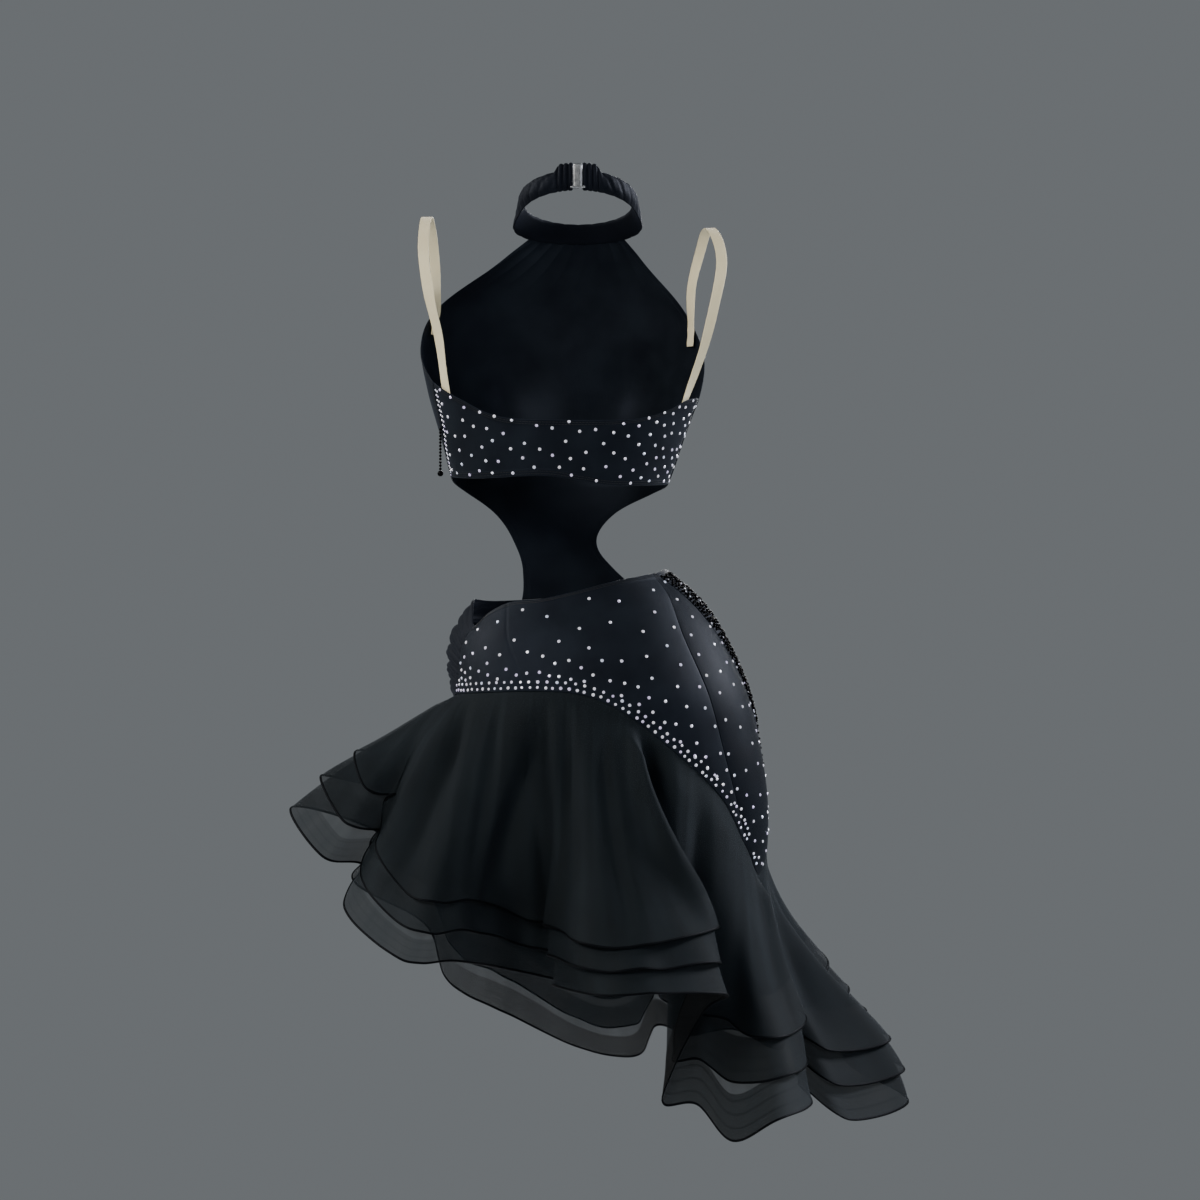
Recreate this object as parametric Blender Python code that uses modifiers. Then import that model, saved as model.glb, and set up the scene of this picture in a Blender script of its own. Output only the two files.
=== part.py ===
"""Salsa dance dress, in the form it has when worn.

Metres, +Z up. The back of the dress faces -Y and the wearer's right is +X. The
origin is in the middle of the neck, at the height where the halter collar holds
the dress. Degrees run anticlockwise round the figure as seen from above: 0 is the
wearer's right, 90 the front, 180 the left and 270 the back.
"""
import math
from collections import namedtuple

import bmesh
import bpy
from mathutils import Vector

MM = 0.001
FULL_TURN = 360
BACK = 270
SHARP_ANGLE = 50

# Cloth walls and the clearances between sewn pieces
SEAM_GAP = 0.3 * MM
NEAR_SHARE = 0.01
NEAR_TURN = 0.1
JERSEY_WALL = 1.5 * MM
DRAPE_WALL = 1.5 * MM
ELASTIC_WALL = 1.0 * MM
ORGANZA_WALL = 1.0 * MM

# The general figure that the dress is cut for: level sections, wider than deep
Ring = namedtuple("Ring", "height middle_x half_width side_y back front")
FIGURE = (
    Ring(-0.760, 0.038, 0.163, 0.000, 0.095, 0.095),
    Ring(-0.715, 0.040, 0.167, 0.000, 0.108, 0.098),
    Ring(-0.660, 0.038, 0.168, -0.002, 0.120, 0.102),
    Ring(-0.605, 0.032, 0.165, -0.005, 0.127, 0.108),
    Ring(-0.550, 0.025, 0.158, -0.008, 0.124, 0.112),
    Ring(-0.495, 0.014, 0.144, -0.006, 0.108, 0.114),
    Ring(-0.451, 0.009, 0.121, 0.000, 0.090, 0.110),
    Ring(-0.418, -0.008, 0.105, 0.006, 0.080, 0.100),
    Ring(-0.385, -0.024, 0.097, 0.010, 0.074, 0.092),
    Ring(-0.352, -0.024, 0.106, 0.010, 0.078, 0.095),
    Ring(-0.319, -0.019, 0.118, 0.008, 0.086, 0.100),
    Ring(-0.264, -0.017, 0.135, 0.004, 0.092, 0.108),
    Ring(-0.220, -0.015, 0.149, 0.000, 0.092, 0.112),
    Ring(-0.173, -0.014, 0.157, 0.000, 0.092, 0.108),
    Ring(-0.120, -0.010, 0.150, 0.004, 0.088, 0.094),
    Ring(-0.070, -0.004, 0.110, 0.007, 0.074, 0.064),
    Ring(-0.030, 0.000, 0.066, 0.008, 0.060, 0.052),
    Ring(0.000, 0.000, 0.057, 0.007, 0.056, 0.050),
    Ring(0.040, 0.000, 0.053, 0.012, 0.054, 0.048),
)
SECTION_POWER = 2.3

# Bust cups, shaped by darts
CUP_SIDE = 0.078
CUP_HEIGHT = -0.222
CUP_DEPTH = 0.026
CUP_SPREAD = 0.052

# Bodice: columns and rows of each panel, and edges as (degrees, height) from the waist up
FRONT_GRID = (16, 20)
BACK_BAND_GRID = (20, 4)
WAIST_CUT_LEFT = ((125, -0.4502), (118, -0.395), (128, -0.355), (152, -0.330), (185, -0.3155))
SIDE_SEAM_LEFT = ((185, -0.3155), (200, -0.264), (204.5, -0.2135))
ARMHOLE_LEFT = ((204.5, -0.2135), (182, -0.173), (158, -0.130), (138, -0.088), (125, -0.0545))
WAIST_CUT_RIGHT = ((60, -0.4372), (65, -0.395), (55, -0.355), (30, -0.332), (0, -0.323))
SIDE_SEAM_RIGHT = ((0, -0.323), (0, -0.275), (0, -0.2293))
ARMHOLE_RIGHT = ((0, -0.2293), (14, -0.190), (33, -0.140), (47, -0.090), (55, -0.0545))
BACK_TOP = ((204.5, -0.2135), (223, -0.233), (242, -0.253), (269, -0.257), (301, -0.256),
            (319, -0.246), (335, -0.232), (360, -0.2293))
BACK_BOTTOM = ((185, -0.3155), (225, -0.319), (260, -0.317), (281, -0.322), (303, -0.327),
               (360, -0.323))

# Skirt edges that run round the figure, as (degrees, height); each closes on itself
WAIST = ((210, -0.479), (218, -0.465), (230, -0.454), (248, -0.450), (269, -0.441),
         (295, -0.430), (325, -0.422), (345, -0.418), (384, -0.424), (420, -0.438),
         (450, -0.446), (500, -0.452), (540, -0.451), (556, -0.463))
RUFFLE_SEAM = ((180, -0.557), (218, -0.551), (254, -0.549), (269, -0.558), (283, -0.583),
               (311, -0.662), (324, -0.716), (341, -0.750), (358, -0.715), (380, -0.675),
               (410, -0.645), (450, -0.615), (500, -0.580))

# Skirt seams that run from the ruffle seam up to the waist
DRAPE_SEAM = ((198, -0.5535), (198.5, -0.530), (200.5, -0.505), (209, -0.4785))
PRINCESS_SEAM = ((324, -0.7163), (317, -0.645), (314, -0.560), (312.5, -0.480), (320, -0.4232))
BAND_INNER = ((369, -0.6930), (364, -0.605), (355, -0.545), (341, -0.480), (323, -0.4224))
BAND_OUTER = ((384, -0.6700), (381, -0.600), (374, -0.545), (363, -0.480), (350, -0.4182))
SKIRT_ROWS = 10
BACK_YOKE_COLUMNS = 17
STEEP_FROM = 300

# Ruched drape: folds from hip to hip, fullest over the left hip
DRAPE_FOLD = 3.0 * MM
DRAPE_LIFT = 2.5 * MM
HIP_PUFF = 9.0 * MM
HIP_PUFF_AT = 536
HIP_PUFF_SPREAD = 22

# Ruched band, rounded across its width; both ruched pieces lie flat towards their seams
BAND_PUFF = 4.6 * MM
BAND_GATHER = 1.2 * MM
PUFF_FADE = 1 / 6

# Collar: a ruched ring that drops from nape to throat; it stands up in pleats on both
# sides of the clasp and is a lower roll elsewhere
COLLAR_MIDDLE = -0.0145
COLLAR_DROP = 0.0240
COLLAR_END = 6.0
COLLAR_STATIONS = 84
COLLAR_HALF_HEIGHT = 14.5 * MM
COLLAR_SCALLOP = 1.4 * MM
COLLAR_THIN = 0.74
COLLAR_PLEATED = 16
COLLAR_STEP = 5
COLLAR_ROLL_TOP = 0.45
SectionPoint = namedtuple("SectionPoint", "lift rise")
COLLAR_SECTION = (
    SectionPoint(0.3 * MM, -1.0), SectionPoint(2.8 * MM, -1.0),
    SectionPoint(6.4 * MM, -0.64), SectionPoint(7.4 * MM, 0.0),
    SectionPoint(6.4 * MM, 0.62), SectionPoint(3.2 * MM, 1.0),
    SectionPoint(0.8 * MM, 0.75), SectionPoint(0.5 * MM, 0.0),
)

# Clasp at the nape
CLASP_Y = -0.0545
CLASP_HEIGHT = 0.0098
PLATE_WIDTH = 9.4 * MM
PLATE_TALL = 25.0 * MM
PLATE_THICK = 1.6 * MM
FRAME_WIDTH = 9.8 * MM
FRAME_TALL = 25.4 * MM
FRAME_WIRE = 1.4 * MM
FRAME_CORNER = 1.5 * MM
PLATE_ROUNDING = 0.6 * MM

# Shoulder straps: middle of the strap, and the turn of its width about Z
STRAP_WIDTH = 11.0 * MM
STRAP_ROWS = 27
STRAP_BACK_LIFT = -2.0 * MM
STRAP_FRONT_LIFT = -3.3 * MM
StrapPoint = namedtuple("StrapPoint", "x y z turn")
STRAP_LEFT_BACK = (213, (-0.232, -0.214))
STRAP_LEFT = (
    StrapPoint(-0.151, -0.060, -0.165, -36), StrapPoint(-0.161, -0.068, -0.121, -22),
    StrapPoint(-0.167, -0.060, -0.077, -8), StrapPoint(-0.167, -0.036, -0.044, 0),
    StrapPoint(-0.165, -0.002, -0.031, 6), StrapPoint(-0.161, 0.026, -0.054, 18),
    StrapPoint(-0.158, 0.034, -0.092, 30),
)
STRAP_LEFT_FRONT = (160, (-0.130, -0.143, -0.156))
STRAP_RIGHT_BACK = (334, (-0.250, -0.232))
STRAP_RIGHT = (
    StrapPoint(0.136, -0.056, -0.180, 34), StrapPoint(0.148, -0.066, -0.132, 20),
    StrapPoint(0.156, -0.060, -0.088, 8), StrapPoint(0.152, -0.038, -0.058, 0),
    StrapPoint(0.143, -0.002, -0.043, -8), StrapPoint(0.135, 0.030, -0.066, -20),
    StrapPoint(0.126, 0.046, -0.104, -34),
)
STRAP_RIGHT_FRONT = (30, (-0.142, -0.155, -0.168))

# Bead strand at the left side seam
STRAND_AT = (200, -0.262)
STRAND_BEADS = 13
BEAD_RADIUS = 1.5 * MM
BEAD_PITCH = 3.6 * MM
THREAD_RADIUS = 0.8 * MM
END_BEAD_RADIUS = 3.2 * MM
BEAD_SIDES = 6
END_BEAD_RINGS = 5

# Ruffles: where each fold of the longest tier leaves the seam (degrees) and where its
# hem lies; spring lifts it away from the body at the seam, flare turns the hem outwards,
# and step is the length that each tier above loses
Fold = namedtuple("Fold", "seam x y z spring flare step")
FOLDS = (
    Fold(180, -0.311, -0.050, -0.676, 0.7, -0.2, 0.047),
    Fold(188, -0.271, -0.140, -0.724, 0.7, 0.0, 0.045),
    Fold(196, -0.228, -0.112, -0.736, 0.5, 0.1, 0.040),
    Fold(205, -0.247, -0.160, -0.776, 0.3, 0.3, 0.038),
    Fold(216, -0.181, -0.260, -0.821, 0.1, 0.4, 0.036),
    Fold(228, -0.125, -0.230, -0.826, 0.0, 0.2, 0.034),
    Fold(240, -0.071, -0.140, -0.844, 0.0, -0.1, 0.029),
    Fold(249, -0.006, -0.120, -0.861, 0.0, -0.1, 0.030),
    Fold(256, -0.025, -0.200, -0.854, 0.0, 0.1, 0.031),
    Fold(266, 0.024, -0.290, -0.855, 0.0, 0.3, 0.027),
    Fold(276, 0.085, -0.300, -0.852, 0.0, 0.3, 0.027),
    Fold(285, 0.156, -0.250, -0.859, 0.0, 0.1, 0.034),
    Fold(293, 0.131, -0.196, -0.885, 0.0, 0.0, 0.042),
    Fold(301, 0.090, -0.163, -0.978, 0.0, 0.1, 0.047),
    Fold(310, 0.127, -0.172, -0.983, 0.0, 0.2, 0.047),
    Fold(317, 0.162, -0.206, -1.016, 0.0, 0.2, 0.064),
    Fold(324, 0.205, -0.250, -0.989, 0.0, 0.3, 0.048),
    Fold(332, 0.246, -0.190, -0.980, 0.0, 0.1, 0.042),
    Fold(339, 0.238, -0.110, -0.970, 0.0, -0.1, 0.040),
    Fold(347, 0.291, -0.120, -1.006, -0.6, 0.3, 0.038),
    Fold(355, 0.360, -0.040, -0.997, -1.3, -0.4, 0.032),
    Fold(366, 0.296, 0.030, -0.961, -1.3, 0.3, 0.035),
    Fold(378, 0.325, 0.110, -0.914, -1.1, 0.6, 0.038),
    Fold(392, 0.251, 0.130, -0.917, -0.9, 0.2, 0.040),
    Fold(407, 0.233, 0.220, -0.973, -0.5, 0.3, 0.040),
    Fold(421, 0.179, 0.170, -0.944, -0.2, -0.1, 0.040),
    Fold(434, 0.129, 0.250, -0.960, 0.0, 0.3, 0.040),
    Fold(446, 0.089, 0.190, -0.942, 0.0, -0.1, 0.040),
    Fold(456, 0.069, 0.270, -0.986, 0.0, 0.2, 0.040),
    Fold(466, 0.007, 0.250, -0.977, 0.0, 0.3, 0.040),
    Fold(479, -0.074, 0.180, -0.931, 0.0, -0.1, 0.040),
    Fold(493, -0.151, 0.200, -0.892, 0.0, 0.3, 0.040),
    Fold(506, -0.174, 0.120, -0.819, 0.0, -0.1, 0.040),
    Fold(518, -0.256, 0.110, -0.767, 0.3, 0.3, 0.040),
    Fold(529, -0.214, 0.030, -0.715, 0.5, -0.1, 0.040),
)
TIERS = 3
PANELS = 4
PANEL_FROM = 183
PANEL_COLUMNS = 30
TIER_ROWS = 4
TIER_PITCH = 1.6 * MM
TIER_SPREAD = 0.6 * MM
SEAM_TILT = 0.15
START_DOWN = 0.4
START_CHORD = 0.8
START_OUT = 0.25
SPRING = 0.6
HEM_FLARE = 0.8
MEAN_OVER = range(-24, 25, 6)
COLUMN_DEGREES = FULL_TURN / (PANELS * PANEL_COLUMNS)


# Curves and the figure

def hermite(start, end, start_slope, end_slope, t):
    """Cubic from start to end, with slopes given per whole step."""
    return (start * (2 * t**3 - 3 * t**2 + 1) + start_slope * (t**3 - 2 * t**2 + t)
            + end * (3 * t**2 - 2 * t**3) + end_slope * (t**3 - t**2))


def smooth(table, at):
    """Read every other column of a table at a value of its first column."""
    keys = [row[0] for row in table]
    last = len(keys) - 1
    at = min(max(at, keys[0]), keys[last])
    low = max(k for k in range(last) if keys[k] <= at)
    step = keys[low + 1] - keys[low]
    t = (at - keys[low]) / step

    def slope(column, k):
        before, after = max(k - 1, 0), min(k + 1, last)
        return step * (table[after][column] - table[before][column]) / (keys[after] - keys[before])

    return [hermite(table[low][c], table[low + 1][c], slope(c, low), slope(c, low + 1), t)
            for c in range(1, len(table[0]))]


def smooth_round(table, degrees):
    """The same for a table of degrees that closes on itself."""
    first = table[0][0]
    degrees = first + (degrees - first) % FULL_TURN
    wrap = 3
    before = [(row[0] - FULL_TURN, *row[1:]) for row in table[-wrap:]]
    after = [(row[0] + FULL_TURN, *row[1:]) for row in table[:wrap]]
    return smooth(before + [tuple(row) for row in table] + after, degrees)


def along(points, t):
    """A point on the smooth curve through a few (degrees, height) points."""
    rows = [(k, *point) for k, point in enumerate(points)]
    return tuple(smooth(rows, t * (len(points) - 1)))


def chain(*curves):
    """Join curves end to end; each takes a share of t by its number of steps."""
    steps = [len(curve) - 1 for curve in curves]

    def read(t):
        at = t * sum(steps)
        for curve, count in zip(curves, steps):
            if at <= count:
                return along(curve, at / count)
            at -= count
        return curves[-1][-1]

    return read


def figure(degrees, height, lift=0.0):
    """A point over the figure's surface."""
    middle_x, half_width, side_y, back, front = smooth(FIGURE, height)
    across = math.cos(math.radians(degrees))
    deep = math.sin(math.radians(degrees))
    swell = (abs(across)**SECTION_POWER + abs(deep)**SECTION_POWER)**(-1 / SECTION_POWER)
    x = middle_x + half_width * across * swell
    y = side_y + (front if deep > 0 else back) * deep * swell
    if deep > 0:
        for side in (-CUP_SIDE, CUP_SIDE):
            away = ((x - middle_x - side)**2 + (height - CUP_HEIGHT)**2) / CUP_SPREAD**2
            y += CUP_DEPTH * deep * math.exp(-away)
    point = Vector((x, y, height))
    if lift:
        point += figure_normal(degrees, height) * lift
    return point


def figure_normal(degrees, height):
    """Straight out of the figure."""
    turn, rise = 0.5, 2 * MM
    across = figure(degrees + turn, height) - figure(degrees - turn, height)
    up = figure(degrees, height + rise) - figure(degrees, height - rise)
    return across.cross(up).normalized()


def waist(degrees):
    return smooth_round(WAIST, degrees)[0]


def ruffle_seam(degrees):
    return smooth_round(RUFFLE_SEAM, degrees)[0]


def collar_height(degrees):
    return COLLAR_MIDDLE - COLLAR_DROP * math.sin(math.radians(degrees))


def under_collar(degrees):
    return collar_height(degrees) - COLLAR_HALF_HEIGHT + SEAM_GAP / 2


# Meshes

def add_object(name, mesh, material, collection):
    mesh.shade_smooth()
    mesh.set_sharp_from_angle(angle=math.radians(SHARP_ANGLE))
    mesh.materials.append(material)
    piece = bpy.data.objects.new(name, mesh)
    collection.objects.link(piece)
    return piece


def cloth(name, place, across, up, material, collection):
    """A wall over an open grid; place(u, v) gives the points of its two faces."""
    bm = bmesh.new()
    grid = [[[bm.verts.new(point) for point in place(u, v)] for v in up] for u in across]
    for near, far in zip(grid, grid[1:]):
        for a, b, c, d in zip(near, far, far[1:], near[1:]):
            for inner, middle, outer in ((a, b, c), (a, c, d)):
                bm.faces.new((inner[0], middle[0], outer[0]))
                bm.faces.new((outer[1], middle[1], inner[1]))
    rim = ([column[0] for column in grid] + grid[-1][1:]
           + [column[-1] for column in grid[-2::-1]] + grid[0][-2:0:-1])
    for here, after in zip(rim, rim[1:] + rim[:1]):
        bm.faces.new((here[0], here[1], after[1]))
        bm.faces.new((here[0], after[1], after[0]))
    bmesh.ops.recalc_face_normals(bm, faces=bm.faces[:])
    mesh = bpy.data.meshes.new(name)
    bm.to_mesh(mesh)
    bm.free()
    return add_object(name, mesh, material, collection)


def even(count):
    """Shares of a whole, from 0 to 1."""
    return [k / count for k in range(count + 1)]


def loft(name, sections, material, collection):
    """Join sections of equally many points into one closed body."""
    bm = bmesh.new()
    rings = [[bm.verts.new(point) for point in section] for section in sections]
    count = len(rings[0])
    for near, far in zip(rings, rings[1:]):
        for k in range(count):
            after = (k + 1) % count
            bm.faces.new((near[k], near[after], far[after], far[k]))
    for ring in (rings[0], rings[-1]):
        middle = bm.verts.new(sum((v.co for v in ring), Vector()) / count)
        for k in range(count):
            bm.faces.new((ring[k], ring[(k + 1) % count], middle))
    bmesh.ops.triangulate(bm, faces=bm.faces[:])
    bmesh.ops.recalc_face_normals(bm, faces=bm.faces[:])
    mesh = bpy.data.meshes.new(name)
    bm.to_mesh(mesh)
    bm.free()
    return add_object(name, mesh, material, collection)


def patch(bottom, top, left, right):
    """Fill four (degrees, height) edges; v runs up and u to the left."""
    corners = bottom(0), bottom(1), top(0), top(1)

    def read(u, v):
        low, high, one, other = bottom(u), top(u), right(v), left(v)
        return [(1 - v) * low[k] + v * high[k] + (1 - u) * one[k] + u * other[k]
                - (1 - u) * (1 - v) * corners[0][k] - u * (1 - v) * corners[1][k]
                - (1 - u) * v * corners[2][k] - u * v * corners[3][k] for k in (0, 1)]

    return read


def panel(name, edges, across, up, wall, material, collection, lift=lambda u, v: 0.0):
    """A panel over the figure, held back from its seams by half a gap."""
    read = patch(*edges)

    def place(u, v):
        degrees, height = read(u, v)
        point = figure(degrees, height)
        inner = figure(degrees, height, lift(u, v))
        for share, shift in ((u, (1, 0)), (v, (0, 1))):
            if share in (0, 1):
                inwards = (1 - 2 * share) * NEAR_SHARE
                near = figure(*read(u + shift[0] * inwards, v + shift[1] * inwards))
                inner += (near - point).normalized() * SEAM_GAP / 2
        return inner, inner + figure_normal(degrees, height) * wall

    return cloth(name, place, across, up, material, collection)


# Pieces of the bodice

def make_front(material, collection):
    left = side_of_front(WAIST_CUT_LEFT, SIDE_SEAM_LEFT, ARMHOLE_LEFT)
    right = side_of_front(WAIST_CUT_RIGHT, SIDE_SEAM_RIGHT, ARMHOLE_RIGHT)

    def across(u, right_edge, left_edge):
        return right_edge[0] + u * (left_edge[0] - right_edge[0])

    def bottom(u):
        degrees = across(u, WAIST_CUT_RIGHT[0], WAIST_CUT_LEFT[0])
        return degrees, waist(degrees)

    def top(u):
        degrees = across(u, ARMHOLE_RIGHT[-1], ARMHOLE_LEFT[-1])
        return degrees, under_collar(degrees)

    columns, rows = FRONT_GRID
    panel("front", (bottom, top, left, right), even(columns), even(rows), JERSEY_WALL,
          material, collection)


def side_of_front(cut, seam, armhole):
    """From the skirt's waist up to the collar, with both ends set exactly on them."""
    foot, top = cut[0][0], armhole[-1][0]
    return chain(((foot, waist(foot)), *cut[1:]), seam,
                 (*armhole[:-1], (top, under_collar(top))))


def make_back_band(material, collection):
    edges = (lambda u: along(BACK_BOTTOM[::-1], u), lambda u: along(BACK_TOP[::-1], u),
             lambda v: along(SIDE_SEAM_LEFT, v), right_side_of_back)
    columns, rows = BACK_BAND_GRID
    panel("back_band", edges, even(columns), even(rows), JERSEY_WALL, material, collection)


def right_side_of_back(v):
    degrees, height = along(SIDE_SEAM_RIGHT, v)
    return degrees + FULL_TURN, height


def make_collar(material, collection):
    first = BACK + COLLAR_END
    last = BACK + FULL_TURN - COLLAR_END
    sections = []
    for k in range(COLLAR_STATIONS + 1):
        degrees = first + (last - first) * k / COLLAR_STATIONS
        full = k % 2 == 0
        thick = 1.0 if full else COLLAR_THIN
        past_pleats = min(degrees - first, last - degrees) - COLLAR_PLEATED
        roll = min(max(past_pleats / COLLAR_STEP, 0), 1)
        section = []
        for point in COLLAR_SECTION:
            rise = point.rise * (COLLAR_HALF_HEIGHT - SEAM_GAP / 2)
            if point.rise > 0:
                rise *= 1 - (1 - COLLAR_ROLL_TOP) * roll
                rise -= 0 if full else COLLAR_SCALLOP * point.rise
            section.append(figure(degrees, collar_height(degrees) + rise, point.lift * thick))
        sections.append(section)
    loft("collar", sections, material, collection)


def make_clasp(material, collection):
    bm = bmesh.new()
    bmesh.ops.create_cube(bm, size=1)
    size = Vector((PLATE_WIDTH, PLATE_THICK, PLATE_TALL))
    middle = Vector((0, CLASP_Y - FRAME_WIRE / 2 - SEAM_GAP - PLATE_THICK / 2, CLASP_HEIGHT))
    for vertex in bm.verts:
        vertex.co = vertex.co * size + middle
    mesh = bpy.data.meshes.new("clasp_plate")
    bm.to_mesh(mesh)
    bm.free()
    plate = add_object("clasp_plate", mesh, material, collection)
    bevel = plate.modifiers.new("rounded edges", "BEVEL")
    bevel.width = PLATE_ROUNDING
    bevel.segments = 2

    curve = bpy.data.curves.new("clasp_frame", "CURVE")
    curve.dimensions = "3D"
    curve.bevel_depth = FRAME_WIRE / 2
    curve.bevel_resolution = 1
    spline = curve.splines.new("POLY")
    across, tall = FRAME_WIDTH / 2, FRAME_TALL / 2
    outline = []
    for turn_x, turn_z, flat_first in ((1, -1, True), (1, 1, False), (-1, 1, True), (-1, -1, False)):
        ends = [(across - FRAME_CORNER, tall), (across, tall - FRAME_CORNER)]
        for x, z in ends if flat_first else ends[::-1]:
            outline.append((turn_x * x, CLASP_Y, CLASP_HEIGHT + turn_z * z))
    spline.points.add(len(outline) - 1)
    for point, place in zip(spline.points, outline):
        point.co = (*place, 1)
    spline.use_cyclic_u = True
    frame = bpy.data.objects.new("clasp_frame", curve)
    curve.materials.append(material)
    collection.objects.link(frame)


def make_strap(name, back, points, front, material, collection):
    path = []
    for (degrees, heights), ahead in ((back, True), (front, False)):
        lap = []
        for height in heights:
            middle = figure(degrees, height, STRAP_BACK_LIFT if ahead else STRAP_FRONT_LIFT)
            aside = figure(degrees + 1, height) - figure(degrees - 1, height)
            turn = math.degrees(math.atan2(aside.y, aside.x))
            turn -= 180 * round((turn - (points[0] if ahead else points[-1]).turn) / 180)
            lap.append(StrapPoint(*middle, turn))
        path = lap if ahead else path + list(points) + lap
    rows = [(k, *point) for k, point in enumerate(path)]

    def middle(v):
        x, y, z, turn = smooth(rows, v * (len(path) - 1))
        width = Vector((math.cos(math.radians(turn)), math.sin(math.radians(turn)), 0))
        return Vector((x, y, z)), width

    def place(u, v):
        point, width = middle(v)
        ahead = middle(min(v + 0.01, 1))[0] - middle(max(v - 0.01, 0))[0]
        thick = width.cross(ahead).normalized() * ELASTIC_WALL / 2
        point += width * STRAP_WIDTH * (u - 0.5)
        return point - thick, point + thick

    cloth(name, place, even(1), even(STRAP_ROWS), material, collection)


def make_bead_strand(material, collection):
    top = figure(*STRAND_AT, JERSEY_WALL + SEAM_GAP + BEAD_RADIUS)
    levels = [(0.0, THREAD_RADIUS)]
    for k in range(STRAND_BEADS):
        start = k * BEAD_PITCH
        levels.append((start + BEAD_PITCH * 0.5, BEAD_RADIUS))
        levels.append((start + BEAD_PITCH, THREAD_RADIUS))
    depth = levels[-1][0]
    for k in range(1, END_BEAD_RINGS):
        turn = math.pi * k / END_BEAD_RINGS
        levels.append((depth + END_BEAD_RADIUS * (1 - math.cos(turn)),
                       END_BEAD_RADIUS * math.sin(turn)))
    sections = []
    for down, radius in levels:
        middle = top - Vector((0, 0, down))
        turns = [math.tau * k / BEAD_SIDES for k in range(BEAD_SIDES)]
        sections.append([middle + Vector((math.cos(turn), math.sin(turn), 0)) * radius
                         for turn in turns])
    loft("bead_strand", sections, material, collection)


# Pieces of the skirt

def seam_columns(first, last, coarse=1):
    """Shares of a panel's lower edge that fall on the ruffles' own columns."""
    step = COLUMN_DEGREES * coarse
    count = round((last - first) / step)
    return even(count)


def lower_edge(first, last):
    def read(u):
        degrees = first + u * (last - first)
        return degrees, ruffle_seam(degrees)

    return read


def waist_edge(first, last):
    def read(u):
        degrees = first + u * (last - first)
        return degrees, waist(degrees)

    return read


def seam_edge(points, turns=0):
    """A skirt seam, with its ends set exactly on the ruffle seam and the waist."""
    low, high = points[0][0], points[-1][0]
    exact = ((low, ruffle_seam(low)), *points[1:-1], (high, waist(high)))

    def read(v):
        degrees, height = along(exact, v)
        return degrees + turns * FULL_TURN, height

    return read


def seams(first, last, turns=0):
    """A skirt panel's four edges, between two of the skirt's seams."""
    return (lower_edge(first[0][0], last[0][0] + turns * FULL_TURN),
            waist_edge(first[-1][0], last[-1][0] + turns * FULL_TURN),
            seam_edge(last, turns), seam_edge(first))


def make_skirt(material, collection):
    up = even(SKIRT_ROWS)
    first, last = DRAPE_SEAM[0][0], PRINCESS_SEAM[0][0]
    bend = (STEEP_FROM - first) / (last - first)
    across = [bend * share for share in even(BACK_YOKE_COLUMNS)]
    across += [bend + (1 - bend) * share for share in seam_columns(STEEP_FROM, last)[1:]]
    panel("skirt_back", seams(DRAPE_SEAM, PRINCESS_SEAM), across, up, JERSEY_WALL,
          material, collection)
    across = seam_columns(last, BAND_INNER[0][0])
    panel("skirt_side", seams(PRINCESS_SEAM, BAND_INNER), across, up, JERSEY_WALL,
          material, collection)


def make_hip_band(material, collection):
    def lift(u, v):
        gathers = BAND_GATHER * math.cos(math.pi * v * SKIRT_ROWS)
        held = min(1, v / PUFF_FADE, (1 - v) / PUFF_FADE)
        return (BAND_PUFF - gathers) * math.sin(math.pi * u) * held

    across = seam_columns(BAND_INNER[0][0], BAND_OUTER[0][0])
    panel("hip_band", seams(BAND_INNER, BAND_OUTER), across, even(SKIRT_ROWS), JERSEY_WALL,
          material, collection, lift)


def make_hip_drape(material, collection):
    first, last = BAND_OUTER[0][0], DRAPE_SEAM[0][0] + FULL_TURN

    def lift(u, v):
        degrees = first + u * (last - first)
        puff = HIP_PUFF * math.exp(-((degrees - HIP_PUFF_AT) / HIP_PUFF_SPREAD)**2)
        fold = DRAPE_FOLD * math.cos(math.pi * v * SKIRT_ROWS)
        held = min(1, u / PUFF_FADE, (1 - u) / PUFF_FADE)
        held *= max(0, math.sin(math.pi * v))**0.5
        return held * (DRAPE_LIFT + puff - fold)

    panel("hip_drape", seams(BAND_OUTER, DRAPE_SEAM, turns=1),
          seam_columns(first, last, coarse=2), even(SKIRT_ROWS), DRAPE_WALL,
          material, collection, lift)


# Ruffles

def ruffle_ray(degrees):
    """One thread of the longest tier: its four control points, the outward normal
    at the seam, its length and the step between the tiers."""
    height = ruffle_seam(degrees)
    seam = figure(degrees, height)
    out = figure_normal(degrees, height)
    turn = 0.5
    tangent = (figure(degrees + turn, ruffle_seam(degrees + turn))
               - figure(degrees - turn, ruffle_seam(degrees - turn))).normalized()
    down = tangent.cross(out)
    x, y, z, spring, flare, step = smooth_round(FOLDS, degrees)
    hem = Vector((x, y, z))
    chord = hem - seam
    length = chord.length
    level = Vector((chord.x, chord.y, 0)).normalized()
    fall = (mean_hem(degrees) - seam).normalized()
    start = (down * (START_DOWN - spring * SPRING) + fall * START_CHORD
             + out * (START_OUT + spring * SPRING)).normalized()
    end = (chord.normalized() + level * flare * HEM_FLARE).normalized()
    seam += down * SEAM_GAP
    controls = (seam, seam + start * length / 3, hem - end * length / 3, hem)
    return controls, out, length, step


def mean_hem(degrees):
    """Where the hem would lie without its folds."""
    places = [Vector(smooth_round(FOLDS, degrees + aside)[:3]) for aside in MEAN_OVER]
    return sum(places, Vector()) / len(places)


def on_ray(controls, t):
    seam, near, far, hem = controls
    return (seam * (1 - t)**3 + near * 3 * t * (1 - t)**2
            + far * 3 * t**2 * (1 - t) + hem * t**3)


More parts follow.
